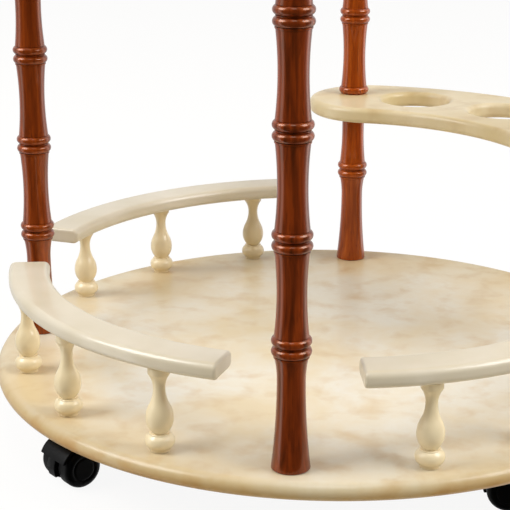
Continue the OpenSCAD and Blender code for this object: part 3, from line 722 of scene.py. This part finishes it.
def hollow(r0, z0, r1, z1, steps=14):
    """A concave stretch from the narrow end (r0, z0), where it is upright, to (r1, z1)."""
    rise, run = r1 - r0, z1 - z0
    radius = (run * run + rise * rise) / (2 * rise)
    turn = math.asin(min(1.0, abs(run) / radius))
    signs = math.copysign(1.0, run)
    turns = [turn * i / steps for i in range(steps + 1)]
    return [(r0 + radius * (1 - math.cos(t)), z0 + signs * radius * math.sin(t)) for t in turns]


def ring(z, steps=12):
    """The half round of one ring, from below to above, but for the last degrees in the groove."""
    return arc((NODE_R - RING_R, z), RING_R, -78, 78, steps)


def lower_half_node(z):
    """Shoulder, lower ring and half of the groove of the node at height z."""
    edge = z - NODE_HALF_H
    shoulder = SWELL_R + SHOULDER_W
    return ([(SWELL_R, edge - SHOULDER_H), (shoulder, edge - SHOULDER_H + 0.2), (shoulder, edge + 0.2)]
            + ring(z - RING_OFFSET) + [(GROOVE_R, z - GROOVE_HALF_H), (GROOVE_R, z)])


def upper_half_node(z):
    """The other half of the groove, and the upper ring."""
    return ([(GROOVE_R, z), (GROOVE_R, z + GROOVE_HALF_H)] + ring(z + RING_OFFSET)
            + [(SWELL_R, z + NODE_HALF_H)])


def to_waist(z, up=1):
    """From a node at height z to the waist halfway to the next node, above or below."""
    points = hollow(WAIST_R, z + up * PITCH / 2, SWELL_R, z + up * NODE_HALF_H)
    return points[::-1] if up > 0 else points


def foot():
    """From the shelf up to the first node's rings."""
    top = FOOT_H - NODE_HALF_H - SHOULDER_H
    return ([(0, 0), (FOOT_R - 1.2, 0), (FOOT_R - 0.5, 0.3), (FOOT_R - 0.1, 1.0)]
            + hollow(FOOT_WAIST_R, FOOT_WAIST_Z, FOOT_R - 0.15, 2.0, 24)[::-1]
            + hollow(FOOT_WAIST_R, FOOT_WAIST_Z, SWELL_R - 0.4, top, 10))


print("leg:", LEG_H, "mm from shelf to shelf,", NODES_PER_LEG, "nodes")

# %% Leg sections on the lathe
JOINT = FOOT_H + PITCH
head = [(r, LEG_H - z) for r, z in foot()][::-1]
last = FOOT_H + (NODES_PER_LEG - 1) * PITCH

first_node = foot() + lower_half_node(FOOT_H) + upper_half_node(FOOT_H) + to_waist(FOOT_H)
plain_top = to_waist(JOINT, -1) + lower_half_node(JOINT) + [(0, JOINT)]
rack_top = [(WAIST_R, JOINT - RACK_T), (0, JOINT - RACK_T)]
between = to_waist(0, -1) + lower_half_node(0) + upper_half_node(0) + to_waist(0)
above_joint = [(0, JOINT)] + upper_half_node(JOINT) + to_waist(JOINT)
last_node = to_waist(last, -1) + lower_half_node(last) + upper_half_node(last)

lower_section = lathe("leg_lower_plain", first_node + plain_top, LEG_SEGMENTS)
rack_section = lathe("leg_lower_rack", first_node + rack_top, LEG_SEGMENTS)
one_node = lathe("leg_node", between, LEG_SEGMENTS)
ends = lathe("leg_ends", above_joint, LEG_SEGMENTS)
crown = lathe("leg_crown", last_node + head, LEG_SEGMENTS)
print("faces of one node:", len(one_node.data.polygons))

# %% [markdown]
# The tree below takes the two ends of an upper section as they are and stands one node
# after another between them. Merge by Distance welds the waists, where node meets node.
# The two nodes of the lower section and the last node aren't in that row, so it has
# three fewer than the leg.

# %% Stack the nodes
WELD = 0.02
stack, given, result = new_tree("stack_of_nodes", Node="object", Crown="object", Count="count",
                                First_Height="number", Pitch="number", Finish="material")
spot = add(stack, "GeometryNodeMeshLine", {"Count": given.outputs["Count"]}, mode="OFFSET")
first = add(stack, "ShaderNodeCombineXYZ", {"Z": given.outputs["First Height"]})
step = add(stack, "ShaderNodeCombineXYZ", {"Z": given.outputs["Pitch"]})
stack.links.new(first.outputs[0], spot.inputs["Start Location"])
stack.links.new(step.outputs[0], spot.inputs["Offset"])
node_mesh = add(stack, "GeometryNodeObjectInfo", {"Object": given.outputs["Node"]})
crown_mesh = add(stack, "GeometryNodeObjectInfo", {"Object": given.outputs["Crown"]})
standing = add(stack, "GeometryNodeInstanceOnPoints", {"Points": spot.outputs["Mesh"],
                                                       "Instance": node_mesh.outputs["Geometry"]})
real = add(stack, "GeometryNodeRealizeInstances", {"Geometry": standing.outputs[0]})
whole = add(stack, "GeometryNodeJoinGeometry")
for part in (given.outputs["Geometry"], real.outputs[0], crown_mesh.outputs["Geometry"]):
    stack.links.new(part, whole.inputs[0])
welded = add(stack, "GeometryNodeMergeByDistance", {"Geometry": whole.outputs[0],
                                                    "Distance": WELD * MM})
done = add(stack, "GeometryNodeSetMaterial", {"Geometry": welded.outputs[0],
                                              "Material": given.outputs["Finish"]})
stack.links.new(done.outputs[0], result.inputs[0])

upper_section = grown("leg_upper", stack, start=ends, Node=one_node, Crown=crown,
                      Count=NODES_PER_LEG - 3, First_Height=(JOINT + PITCH) * MM,
                      Pitch=PITCH * MM, Finish=leg_wood)
print("upper section:", len(upper_section.data.polygons), "faces")

# %% Four legs
LEG_BEARINGS = {"front": -90, "right": 0, "back": 90, "left": 180}
# how far each leg goes from the dark tones to the pale ones; the back leg is the palest
LEG_STAIN = {"front": 0.0, "right": 0.5, "back": 0.9, "left": 0.3}
for side, bearing in LEG_BEARINGS.items():
    x = LEG_CIRCLE * math.cos(math.radians(bearing))
    y = LEG_CIRCLE * math.sin(math.radians(bearing))
    low = rack_section if side in ("right", "back") else lower_section
    for kind, source in (("lower", low), ("upper", upper_section)):
        # a turn of its own for each leg, so that no two seams face the same way
        leg = placed(copied(source, f"turned_leg_{side}_{kind}"), x, y, FLOOR_TO_DECK,
                     turn=bearing * 0.7 + 20)
        marked(leg, "stain", LEG_STAIN[side])
        dressed(leg, leg_wood, "frame", "leg_wood", f"{side}_leg_{kind}")
for template in (lower_section, rack_section, one_node, ends, crown, upper_section):
    bpy.data.objects.remove(template)

# %% [markdown]
# ## Balusters
#
# A baluster is a small turned post: a ball with a ring on a foot, a bulb, a neck and a
# collar that flares out under the rail. One is turned on the lathe. A tree then stands it
# three times on the baluster circle, at even angles about the middle of the gallery.

# %% Turn a baluster
BALUSTER_H, BALUSTER_FOOT_R, NECK_R, NECK_Z, COLLAR_R = 82.0, 9.5, 5.6, 61.0, 10.25
baluster_template = (
    [(0, 0), (BALUSTER_FOOT_R - 0.4, 0), (BALUSTER_FOOT_R, 0.4), (BALUSTER_FOOT_R, 2.6)]
    + arc((6.1, 9.7), 7.7, -62, 58, 14)
    + [(10.0, 16.5), (10.0, 17.3), (9.7, 17.6), (7.4, 17.7)]
    + arc((-7.1, 31.9), 20.0, -44, 0, 12) + arc((-13.1, 31.9), 26.0, 2, 27.5, 8)
    + hollow(NECK_R, NECK_Z, 9.97, 43.9, 12)[::-1] + hollow(NECK_R, NECK_Z, COLLAR_R, 75.0, 12)[1:]
    + [(COLLAR_R, BALUSTER_H - 0.3), (COLLAR_R - 0.3, BALUSTER_H), (0, BALUSTER_H)])
BALUSTER_SEGMENTS = 48
# the number named turned gives the whole baluster the painted bounce light of the ivory lacquer
baluster = marked(lathe("baluster_template", baluster_template, BALUSTER_SEGMENTS), "turned", 1.0)
print("baluster:", len(baluster.data.polygons), "faces")

# %% Stand three balusters in an arc
arcade, given, result = new_tree("arc_of_balusters", Baluster="object", Count="count",
                                 Circle_Radius="number", Middle_Angle="number",
                                 Step_Angle="number", Height="number", Finish="material")
number = add(arcade, "GeometryNodeInputIndex").outputs[0]
middle = maths(arcade, "MULTIPLY", maths(arcade, "SUBTRACT", given.outputs["Count"], 1.0), 0.5)
offset = maths(arcade, "SUBTRACT", number, middle)
angle = maths(arcade, "MULTIPLY_ADD", offset, given.outputs["Step Angle"],
              given.outputs["Middle Angle"])
x = maths(arcade, "MULTIPLY", maths(arcade, "COSINE", angle), given.outputs["Circle Radius"])
y = maths(arcade, "MULTIPLY", maths(arcade, "SINE", angle), given.outputs["Circle Radius"])
spot = add(arcade, "ShaderNodeCombineXYZ", {"X": x, "Y": y, "Z": given.outputs["Height"]})
points = add(arcade, "GeometryNodePoints", {"Count": given.outputs["Count"],
                                            "Position": spot.outputs[0]})
post = add(arcade, "GeometryNodeObjectInfo", {"Object": given.outputs["Baluster"]})
facing = add(arcade, "ShaderNodeCombineXYZ", {"Z": angle})
standing = add(arcade, "GeometryNodeInstanceOnPoints", {"Points": points.outputs[0],
                                                        "Instance": post.outputs["Geometry"],
                                                        "Rotation": facing.outputs[0]})
real = add(arcade, "GeometryNodeRealizeInstances", {"Geometry": standing.outputs[0]})
done = add(arcade, "GeometryNodeSetMaterial", {"Geometry": real.outputs[0],
                                               "Material": given.outputs["Finish"]})
arcade.links.new(done.outputs[0], result.inputs[0])

GALLERY_BEARINGS = {"front_left": -135, "front_right": -45, "back_left": 135}
DECKS = {"": FLOOR_TO_DECK, "top_": TOP_DECK}
BALUSTER_CIRCLE, BALUSTER_STEP, BALUSTERS = 319.0, 22.5, 3
for prefix, deck in DECKS.items():
    for side, bearing in GALLERY_BEARINGS.items():
        row = grown(f"{prefix}{side}_turned_balusters", arcade, Baluster=baluster, Count=BALUSTERS,
                    Circle_Radius=BALUSTER_CIRCLE * MM, Middle_Angle=math.radians(bearing),
                    Step_Angle=math.radians(BALUSTER_STEP), Height=deck * MM, Finish=ivory_lacquer)
        # the upper galleries have one CAD node for the three balusters, the lower ones three
        singles = [f"{side}_baluster_{i + 1}" for i in range(BALUSTERS)]
        nodes = [f"top_{side}_balusters"] if prefix else singles
        dressed(placed(row), ivory_lacquer, "frame", "gallery_lacquer", *nodes)
bpy.data.objects.remove(baluster)

# %% [markdown]
# ## Rails
#
# A rail is a curved board 42 mm wide, routed with a round edge along both sides and cut
# square at its ends, where the corners are sanded soft. It follows an arc, so a
# tree sweeps its section along that arc. The Bevel modifier then softens the only
# sharp edges that are left, those round the two end faces.

# %% Sweep a rail
sweep, given, result = new_tree("swept_rail", Radius="number", Start_Angle="number",
                                Span="number", Width="number", Thickness="number",
                                Edge_Radius="number", Finish="material")
path = add(sweep, "GeometryNodeCurveArc", {"Resolution": 72, "Radius": given.outputs["Radius"],
                                           "Start Angle": given.outputs["Start Angle"],
                                           "Sweep Angle": given.outputs["Span"]}, mode="RADIUS")
section = add(sweep, "GeometryNodeCurvePrimitiveQuadrilateral", {"Width": given.outputs["Width"],
                                                                 "Height": given.outputs["Thickness"]})
rounded = add(sweep, "GeometryNodeFilletCurve", {"Curve": section.outputs[0], "Count": 8,
                                                 "Radius": given.outputs["Edge Radius"]}, mode="POLY")
swept = add(sweep, "GeometryNodeCurveToMesh", {
    "Curve": path.outputs[0], "Profile Curve": rounded.outputs[0], "Fill Caps": True})
done = add(sweep, "GeometryNodeSetMaterial", {"Geometry": swept.outputs[0],
                                              "Material": given.outputs["Finish"]})
sweep.links.new(done.outputs[0], result.inputs[0])

RAIL_IN, RAIL_OUT, RAIL_T, RAIL_EDGE, RAIL_SPAN = 292.0, 334.0, 16.5, 6.4, 67.5
rail = grown("rail_template", sweep, Radius=(RAIL_IN + RAIL_OUT) / 2 * MM, Start_Angle=0.0,
             Span=math.radians(RAIL_SPAN), Width=(RAIL_OUT - RAIL_IN) * MM, Thickness=RAIL_T * MM,
             Edge_Radius=RAIL_EDGE * MM, Finish=ivory_lacquer)
print("rail section spans", [round(1000 * d, 1) for d in rail.dimensions], "mm")

# %% Soften the ends and set the six rails in place
END_ROUND, END_STEPS, SHARP_FROM = 3.0, 5, 50
bevel = rail.modifiers.new("soft ends", "BEVEL")
bevel.width, bevel.segments = END_ROUND * MM, END_STEPS
bevel.limit_method, bevel.angle_limit = "ANGLE", math.radians(SHARP_FROM)
bevel.use_clamp_overlap = True
bpy.context.view_layer.update()
graph = bpy.context.evaluated_depsgraph_get()
soft = bpy.data.meshes.new_from_object(rail.evaluated_get(graph))
for prefix, deck in DECKS.items():
    for side, bearing in GALLERY_BEARINGS.items():
        board = bpy.data.objects.new(f"{prefix}{side}_routed_rail", soft.copy())
        bpy.context.scene.collection.objects.link(board)
        placed(board, z=deck + BALUSTER_H + RAIL_T / 2, turn=bearing - RAIL_SPAN / 2)
        for face in board.data.polygons:
            face.use_smooth = True
        dressed(board, ivory_lacquer, "frame", "gallery_lacquer", f"{prefix}{side}_rail")
bpy.data.objects.remove(rail)

# %% [markdown]
# ## Shelves
#
# A shelf is a disc with a fully rounded edge, a bullnose. The flat faces need one more
# ring of points just inside the rounding: it keeps the shading of the curved edge from
# bleeding into the flat. Each point stores how much darker the colour is there: it grows
# over the outer 90 mm or so of the top, and again down the edge, where it is partly a
# deeper glaze and partly painted shade. The back half of the top is darker too, as painted shade.

# %% Shelves
SHELF_R, NOSE_R, SHELF_SEGMENTS = 350.0, SHELF_T / 2, 192
BORDER_START, BORDER_MIDDLE, BORDER_END = 250.0, 300.0, 337.0
# darkening towards the border, down the edge as deeper glaze and painted shade, and on the back half as
# painted shade
BORDER_DARKENING, EDGE_GLAZE_AND_SHADE, BACK_PAINTED_SHADE = 0.28, 0.6, 0.18
# how far down the edge the deeper glaze and the painted shade still deepen
GLAZE_AND_SHADE_DEPTH = 13.0
shelf_template = ([(0, 0), (BORDER_END, 0)] + arc((SHELF_R - NOSE_R, NOSE_R), NOSE_R, -90, 90, 16)
                  + [(r, SHELF_T) for r in (BORDER_END, BORDER_MIDDLE, BORDER_START, 0)])
for node, base in (("bottom_shelf", FLOOR_TO_DECK - SHELF_T), ("top_shelf", TOP_DECK - SHELF_T)):
    board = lathe(f"{node}_painted_disc", shelf_template, SHELF_SEGMENTS)
    edge = board.data.attributes.new("edge", "FLOAT", "POINT")
    for vertex in board.data.vertices:
        radius = math.hypot(vertex.co.x, vertex.co.y) / MM
        border = min(1.0, max(0.0, (radius - BORDER_START) / (BORDER_END - BORDER_START)))
        depth = min(1.0, (SHELF_T - vertex.co.z / MM) / GLAZE_AND_SHADE_DEPTH)
        # painted shade that darkens the back half of the top
        back = max(0.0, vertex.co.y / MM / SHELF_R)
        glaze_and_shade = BORDER_DARKENING * border + EDGE_GLAZE_AND_SHADE * depth + BACK_PAINTED_SHADE * back * (1 - depth)
        edge.data[vertex.index].value = glaze_and_shade
    placed(board, z=base)
    dressed(board, shelf_lacquer, "frame", "shelf_lacquer", node)
discs = [o for o in bpy.data.objects if o.name.endswith("painted_disc")]
print("shelves:", [round(o.dimensions.x, 3) for o in discs])

# %% [markdown]
# ## Bottle rack
#
# The rack is a curved board with round ends. A joiner saws out the outline, bores the
# holes, and runs one round-over cutter along every edge. The code does the same. It draws
# the outline and each hole as a loop of points. At each level the loops move by the
# depth of the cutter there: the outline moves in and the holes widen. The two small
# holes let the legs' studs through and stay sharp.

# %% The rack's loops
RACK_MID, RACK_HALF_W, RACK_EDGE, RACK_END_TURN = 297.0, 75.0, 6.0, 4.6
# the flat faces get a ring of points this far inside the rounding, as the shelves do
FLAT_RIM = 2.0
HOLE_R, HOLE_BEARINGS = 40.0, (75.0, 52.5, 30.0)
STUD_HOLE_R, STUD_BEARINGS = 4.1, (0.0, 90.0)


def around(middle, radius, start, turn, steps):
    """Points of a circle about middle, without the last one. Angles are in radians."""
    return [(middle[0] + radius * math.cos(start + turn * i / steps),
             middle[1] + radius * math.sin(start + turn * i / steps)) for i in range(steps)]


def polar(radius, degrees):
    return radius * math.cos(math.radians(degrees)), radius * math.sin(math.radians(degrees))


def rack_outline(inset):
    """The rack's outline, moved in by inset: outer arc, round end, inner arc, round end."""
    first, last = math.radians(RACK_END_TURN), math.radians(90 - RACK_END_TURN)
    reach = RACK_HALF_W - inset
    return (around((0, 0), RACK_MID + reach, first, last - first, 80)
            + around(polar(RACK_MID, 90 - RACK_END_TURN), reach, last, math.pi, 36)
            + around((0, 0), RACK_MID - reach, last, first - last, 60)
            + around(polar(RACK_MID, RACK_END_TURN), reach, first + math.pi, math.pi, 36))


cutter = [(RACK_EDGE * (1 - math.cos(math.radians(a))), RACK_EDGE * (1 - math.sin(math.radians(a))))
          for a in range(0, 91, 10)]
levels = ([(RACK_EDGE + FLAT_RIM, 0.0)] + cutter[::-1]
          + [(depth, RACK_T - z) for depth, z in cutter] + [(RACK_EDGE + FLAT_RIM, RACK_T)])
print("levels of the rack:", len(levels))

# %% Skin the loops and close both faces
shape = bmesh.new()


def skin(loops):
    """Joins a stack of equal loops with faces, and returns the edges of the lowest and the highest."""
    rows = [[shape.verts.new((x * MM, y * MM, z * MM)) for x, y in loop] for loop, z in loops]
    for below, above in zip(rows, rows[1:]):
        for i in range(len(below)):
            j = (i + 1) % len(below)
            shape.faces.new((below[i], below[j], above[j], above[i]))
    return [[shape.edges.get((row[i], row[(i + 1) % len(row)])) for i in range(len(row))]
            for row in (rows[0], rows[-1])]


rims = [skin([(rack_outline(depth), z) for depth, z in levels])]
for bearing in HOLE_BEARINGS:
    rims.append(skin([(around(polar(RACK_MID, bearing), HOLE_R + depth, 0, 2 * math.pi, 72), z)
                      for depth, z in levels]))
for bearing in STUD_BEARINGS:
    rims.append(skin([(around(polar(LEG_CIRCLE, bearing), STUD_HOLE_R, 0, 2 * math.pi, 24), z)
                      for z in (0.0, RACK_T)]))
for face in (0, 1):
    bmesh.ops.triangle_fill(shape, use_beauty=True, edges=[edge for rim in rims for edge in rim[face]])
rack = placed(finished("curved_bottle_rack", shape), z=FLOOR_TO_DECK + JOINT - RACK_T)
dressed(rack, rack_lacquer, "frame", "rack_lacquer", "bottle_rack")
print("rack:", len(rack.data.polygons), "faces")

# %% [markdown]
# ## Casters
#
# Each caster is a glossy black hood over two wheels. The hood is one moulding: a shell bent
# over both treads, a web between the wheels that holds the axle, and a round head
# under the plate. The wheels' outer faces are closed and rounded off, with a shallow
# ring pressed into them. All is drawn about the swivel axis with the wheels
# trailing along +X, and then turned to each caster's heading.

# %% Parts of a hood
CASTER_H, PLATE_T, FACE_GAP, TRAIL, WHEEL_R = 52.0, 2.0, 0.3, 18.5, 20.0
POCKET_R, HOOD_R, HOOD_HALF_W, HOOD_END_R, SKIRT = 21.2, 23.6, 21.5, 2.0, 9.0
WEB_HALF, WEB_DROP, WEB_INSET, WEB_CHAMFER = 6.5, 9.0, 0.2, 0.6
HEAD_R, HEAD_LOW, HEAD_CHAMFER, HEAD_ROUND, NECK_TOP = 13.0, 38.8, 0.8, 1.0, 40.0
HOOD_TOP = CASTER_H - PLATE_T - FACE_GAP


def bent_shell(name, loop, low, steps=44):
    """Sweeps a closed loop of (radius, y) over the axle, down to the height low over it."""
    shape = bmesh.new()
    rows = []
    for i in range(steps + 1):
        row = []
        for r, y in loop:
            start = math.asin(low / r)
            t = start + (math.pi - 2 * start) * i / steps
            row.append(shape.verts.new((r * math.cos(t) * MM, y * MM, r * math.sin(t) * MM)))
        rows.append(row)
    for near, far in zip(rows, rows[1:]):
        for i in range(len(loop)):
            j = (i + 1) % len(loop)
            shape.faces.new((near[i], near[j], far[j], far[i]))
    shape.faces.new(rows[0])
    shape.faces.new(rows[-1])
    return finished(name, shape)


def plate_of(name, outline, half_w, chamfer):
    """A flat piece across Y with a convex outline in X and Z, its edges chamfered."""
    middle = (sum(p[0] for p in outline) / len(outline), sum(p[1] for p in outline) / len(outline))
    far = max(math.dist(p, middle) for p in outline)
    drawn_in = 1 - chamfer / far
    shape = bmesh.new()
    rows = []
    for y, share in ((-half_w, drawn_in), (-half_w + chamfer, 1), (half_w - chamfer, 1),
                     (half_w, drawn_in)):
        rows.append([shape.verts.new(((middle[0] + (x - middle[0]) * share) * MM, y * MM,
                                      (middle[1] + (z - middle[1]) * share) * MM))
                     for x, z in outline])
    for row, next_row in zip(rows, rows[1:]):
        for i in range(len(outline)):
            j = (i + 1) % len(outline)
            shape.faces.new((row[i], row[j], next_row[j], next_row[i]))
    shape.faces.new(rows[0])
    shape.faces.new(rows[-1])
    return finished(name, shape)


shell_loop = ([(POCKET_R, -HOOD_HALF_W), (POCKET_R, -HOOD_HALF_W / 3), (POCKET_R, HOOD_HALF_W / 3),
               (POCKET_R, HOOD_HALF_W)]
              + arc((HOOD_R - HOOD_END_R, HOOD_HALF_W - HOOD_END_R), HOOD_END_R, 90, 0, 6)
              + arc((HOOD_R - HOOD_END_R, -HOOD_HALF_W + HOOD_END_R), HOOD_END_R, 0, -90, 6))
shell = bent_shell("hood_shell", shell_loop, SKIRT)
web_angle = math.degrees(math.asin(WEB_DROP / HOOD_R))
web_outline = arc((0, 0), HOOD_R - WEB_INSET, -web_angle, 180 + web_angle, 48)
web = plate_of("hood_web", web_outline, WEB_HALF, WEB_CHAMFER)
for part in (shell, web):
    part.data.transform(Matrix.Translation((TRAIL * MM, 0, WHEEL_R * MM)))
neck_template = [(0, WHEEL_R), (WEB_HALF, WHEEL_R), (WEB_HALF, NECK_TOP), (0, NECK_TOP)]
neck = lathe("hood_neck", neck_template, 40)
head_template = ([(0, HEAD_LOW), (HEAD_R - HEAD_CHAMFER, HEAD_LOW), (HEAD_R, HEAD_LOW + HEAD_CHAMFER),
                  (HEAD_R, HOOD_TOP - HEAD_ROUND)]
                 + arc((HEAD_R - HEAD_ROUND, HOOD_TOP - HEAD_ROUND), HEAD_ROUND, 0, 90, 5)
                 + [(0, HOOD_TOP)])
head = lathe("hood_head", head_template, 56)
hood = joined("hood_template", shell, web, neck, head)
print("hood:", len(hood.data.polygons), "faces")

# %% A wheel
WHEEL_FACE, WHEEL_W, TREAD_EDGE_R, FACE_R = 7.2, 17.0, 2.0, 6.0
BORE_R, BORE_DEPTH, BORE_CHAMFER = 3.05, 13.0, 0.4
# the ring pressed into the outer face, as radius and depth
pressed_ring = [(12.8, 0), (12.5, 0.2), (12.3, 0.5), (10.9, 0.5), (10.7, 0.2), (10.4, 0), (9.0, 0)]
wheel_template = ([(0, BORE_DEPTH), (BORE_R, BORE_DEPTH), (BORE_R, BORE_CHAMFER),
                   (BORE_R + BORE_CHAMFER, 0), (WHEEL_R - TREAD_EDGE_R - 1, 0)]
                  + arc((WHEEL_R - TREAD_EDGE_R, TREAD_EDGE_R), TREAD_EDGE_R, -90, 0, 6)
                  + [(WHEEL_R, 6.5), (WHEEL_R, WHEEL_W - FACE_R)]
                  + arc((WHEEL_R - FACE_R, WHEEL_W - FACE_R), FACE_R, 8, 90, 10)
                  + [(r, WHEEL_W - depth) for r, depth in pressed_ring] + [(0, WHEEL_W)])
wheel = lathe("wheel_template", [(r, WHEEL_FACE + z) for r, z in wheel_template], 72)
print("wheel:", [round(d / MM, 1) for d in wheel.dimensions], "mm")

# %% Four casters
CASTER_CIRCLE = 300.0
# where each stands on the circle and where its wheels trail to, in degrees
CASTERS = {"front_left": (-135, 226), "front_right": (-45, 182),
           "back_left": (135, 320), "back_right": (45, 20)}
for corner, (bearing, heading) in CASTERS.items():
    x, y = polar(CASTER_CIRCLE, bearing)
    cover = placed(copied(hood, f"{corner}_moulded_hood"), x, y, turn=heading)
    dressed(cover, hood_plastic, f"{corner}_swivel", "caster_plastic", f"{corner}_caster_hood")
    for number, side in ((1, 1), (2, -1)):
        roller = copied(wheel, f"{corner}_moulded_wheel_{number}")
        roller.data.transform(Matrix.Translation((TRAIL * MM, 0, WHEEL_R * MM))
                              @ Matrix.Rotation(math.radians(-90 * side), 4, "X"))
        placed(roller, x, y, turn=heading)
        dressed(roller, wheel_plastic, f"{corner}_wheel_{number}", "wheel_plastic",
                f"{corner}_caster_wheel_{number}")
for template in (hood, wheel):
    bpy.data.objects.remove(template)
print("casters:", sorted(CASTERS))

# %% [markdown]
# ## Cheese board, dome and knob
#
# These three are lathe work too. The board has a ring groove, where the dome's rim
# stands. The dome is pressed from clear sheet and cemented to a short tube. A template
# that goes up the outside and comes back down the inside gives its wall the real
# 4 mm, which refraction needs. A hair line at the cement joint is the only mark on it.

# %% Cheese board
BOARD_R, BOARD_T, BOARD_EDGE = 215.0, 22.0, 4.0
GROOVE_IN, GROOVE_OUT, GROOVE_DEPTH = 175.0, 181.0, 2.0
BOARD_TOP = TOP_DECK + BOARD_T
# one wall of the groove, from the board's face to the groove's floor: (distance from the
# wall towards the groove's middle, depth)
groove_wall = [(-0.5, 0), (-0.1, 0.3), (0, 1.6), (0.4, GROOVE_DEPTH)]
groove = ([(GROOVE_OUT - inward, BOARD_T - depth) for inward, depth in groove_wall]
          + [(GROOVE_IN + inward, BOARD_T - depth) for inward, depth in groove_wall[::-1]])
board_template = ([(0, 0), (BOARD_R - 2 * BOARD_EDGE, 0)]
                  + arc((BOARD_R - BOARD_EDGE, BOARD_EDGE), BOARD_EDGE, -90, 0, 7)
                  + arc((BOARD_R - BOARD_EDGE, BOARD_T - BOARD_EDGE), BOARD_EDGE, 0, 90, 7)
                  + [(BOARD_R - 2 * BOARD_EDGE, BOARD_T)] + groove
                  + [(GROOVE_IN - 5, BOARD_T), (0, BOARD_T)])
board = placed(lathe("turned_cheese_board", board_template, 192), z=TOP_DECK)
dressed(board, board_wood, "frame", "board_wood", "cheese_board")
print("board:", round(board.dimensions.x / MM), "mm wide")

# %% Dome
DOME_R, DOME_T, WALL_H, CROWN_FLAT = 180.0, 4.0, 40.0, 1.2
RIM_CHAMFER, CEMENT_DEPTH, CEMENT_HALF_H = 0.4, 0.1, 0.25
KNOB_HOLE_R, HOLE_CHAMFER = 1.85, 0.35
DOME_Z = BOARD_TOP - GROOVE_DEPTH + FACE_GAP
inside = DOME_R - DOME_T
crown_z = WALL_H + DOME_R - CROWN_FLAT
# the outer arc ends at the small flat under the knob, the inner one at the screw's hole
flat_angle = math.degrees(math.asin((DOME_R - CROWN_FLAT) / DOME_R))
hole_angle = 89.4
dome_loop = ([(inside + RIM_CHAMFER, 0), (DOME_R - RIM_CHAMFER, 0), (DOME_R, RIM_CHAMFER),
              (DOME_R, WALL_H - CEMENT_HALF_H), (DOME_R - CEMENT_DEPTH, WALL_H),
              (DOME_R, WALL_H + CEMENT_HALF_H)]
             + arc((0, WALL_H), DOME_R, 2, flat_angle, 48)
             + [(KNOB_HOLE_R + HOLE_CHAMFER, crown_z), (KNOB_HOLE_R, crown_z - HOLE_CHAMFER)]
             + arc((0, WALL_H), inside, hole_angle, 0, 52) + [(inside, RIM_CHAMFER)])
dome = placed(lathe("pressed_clear_dome", dome_loop, 160, hollow_loop=True), z=DOME_Z)
dressed(dome, clear_acrylic, "dome", "clear_acrylic", "dome_wall", "dome_cap")
print("dome:", len(dome.data.polygons), "faces")

# %% Knob
KNOB_R, KNOB_MIDDLE_Z, KNOB_FOOT_R, KNOB_FOOT_ROUND = 17.0, 19.0, 13.0, 1.5
KNOB_BORE_DEPTH = 14.5
knob_template = ([(0, KNOB_BORE_DEPTH), (KNOB_HOLE_R, KNOB_BORE_DEPTH), (KNOB_HOLE_R, 0.3),
                  (KNOB_HOLE_R + HOLE_CHAMFER, 0), (KNOB_FOOT_R - 0.4, 0), (KNOB_FOOT_R, 0.4),
                  (KNOB_FOOT_R, 3.5)]
                 + arc((KNOB_FOOT_R - KNOB_FOOT_ROUND, 3.5), KNOB_FOOT_ROUND, 8, 90, 6)
                 + [(10.3, 5.0), (9.9, 5.2)] + arc((0, KNOB_MIDDLE_Z), KNOB_R, -54, 90, 30))
knob = placed(lathe("turned_dome_knob", knob_template, 72), z=DOME_Z + crown_z)
dressed(knob, leg_wood, "dome", "leg_wood", "dome_knob")
print("top of the knob at", round(max(v.co.z for v in knob.data.vertices) / MM, 1), "mm")

# %% [markdown]
# ## Finish
#
# The last cell only imports json.

# %% Finish
import json
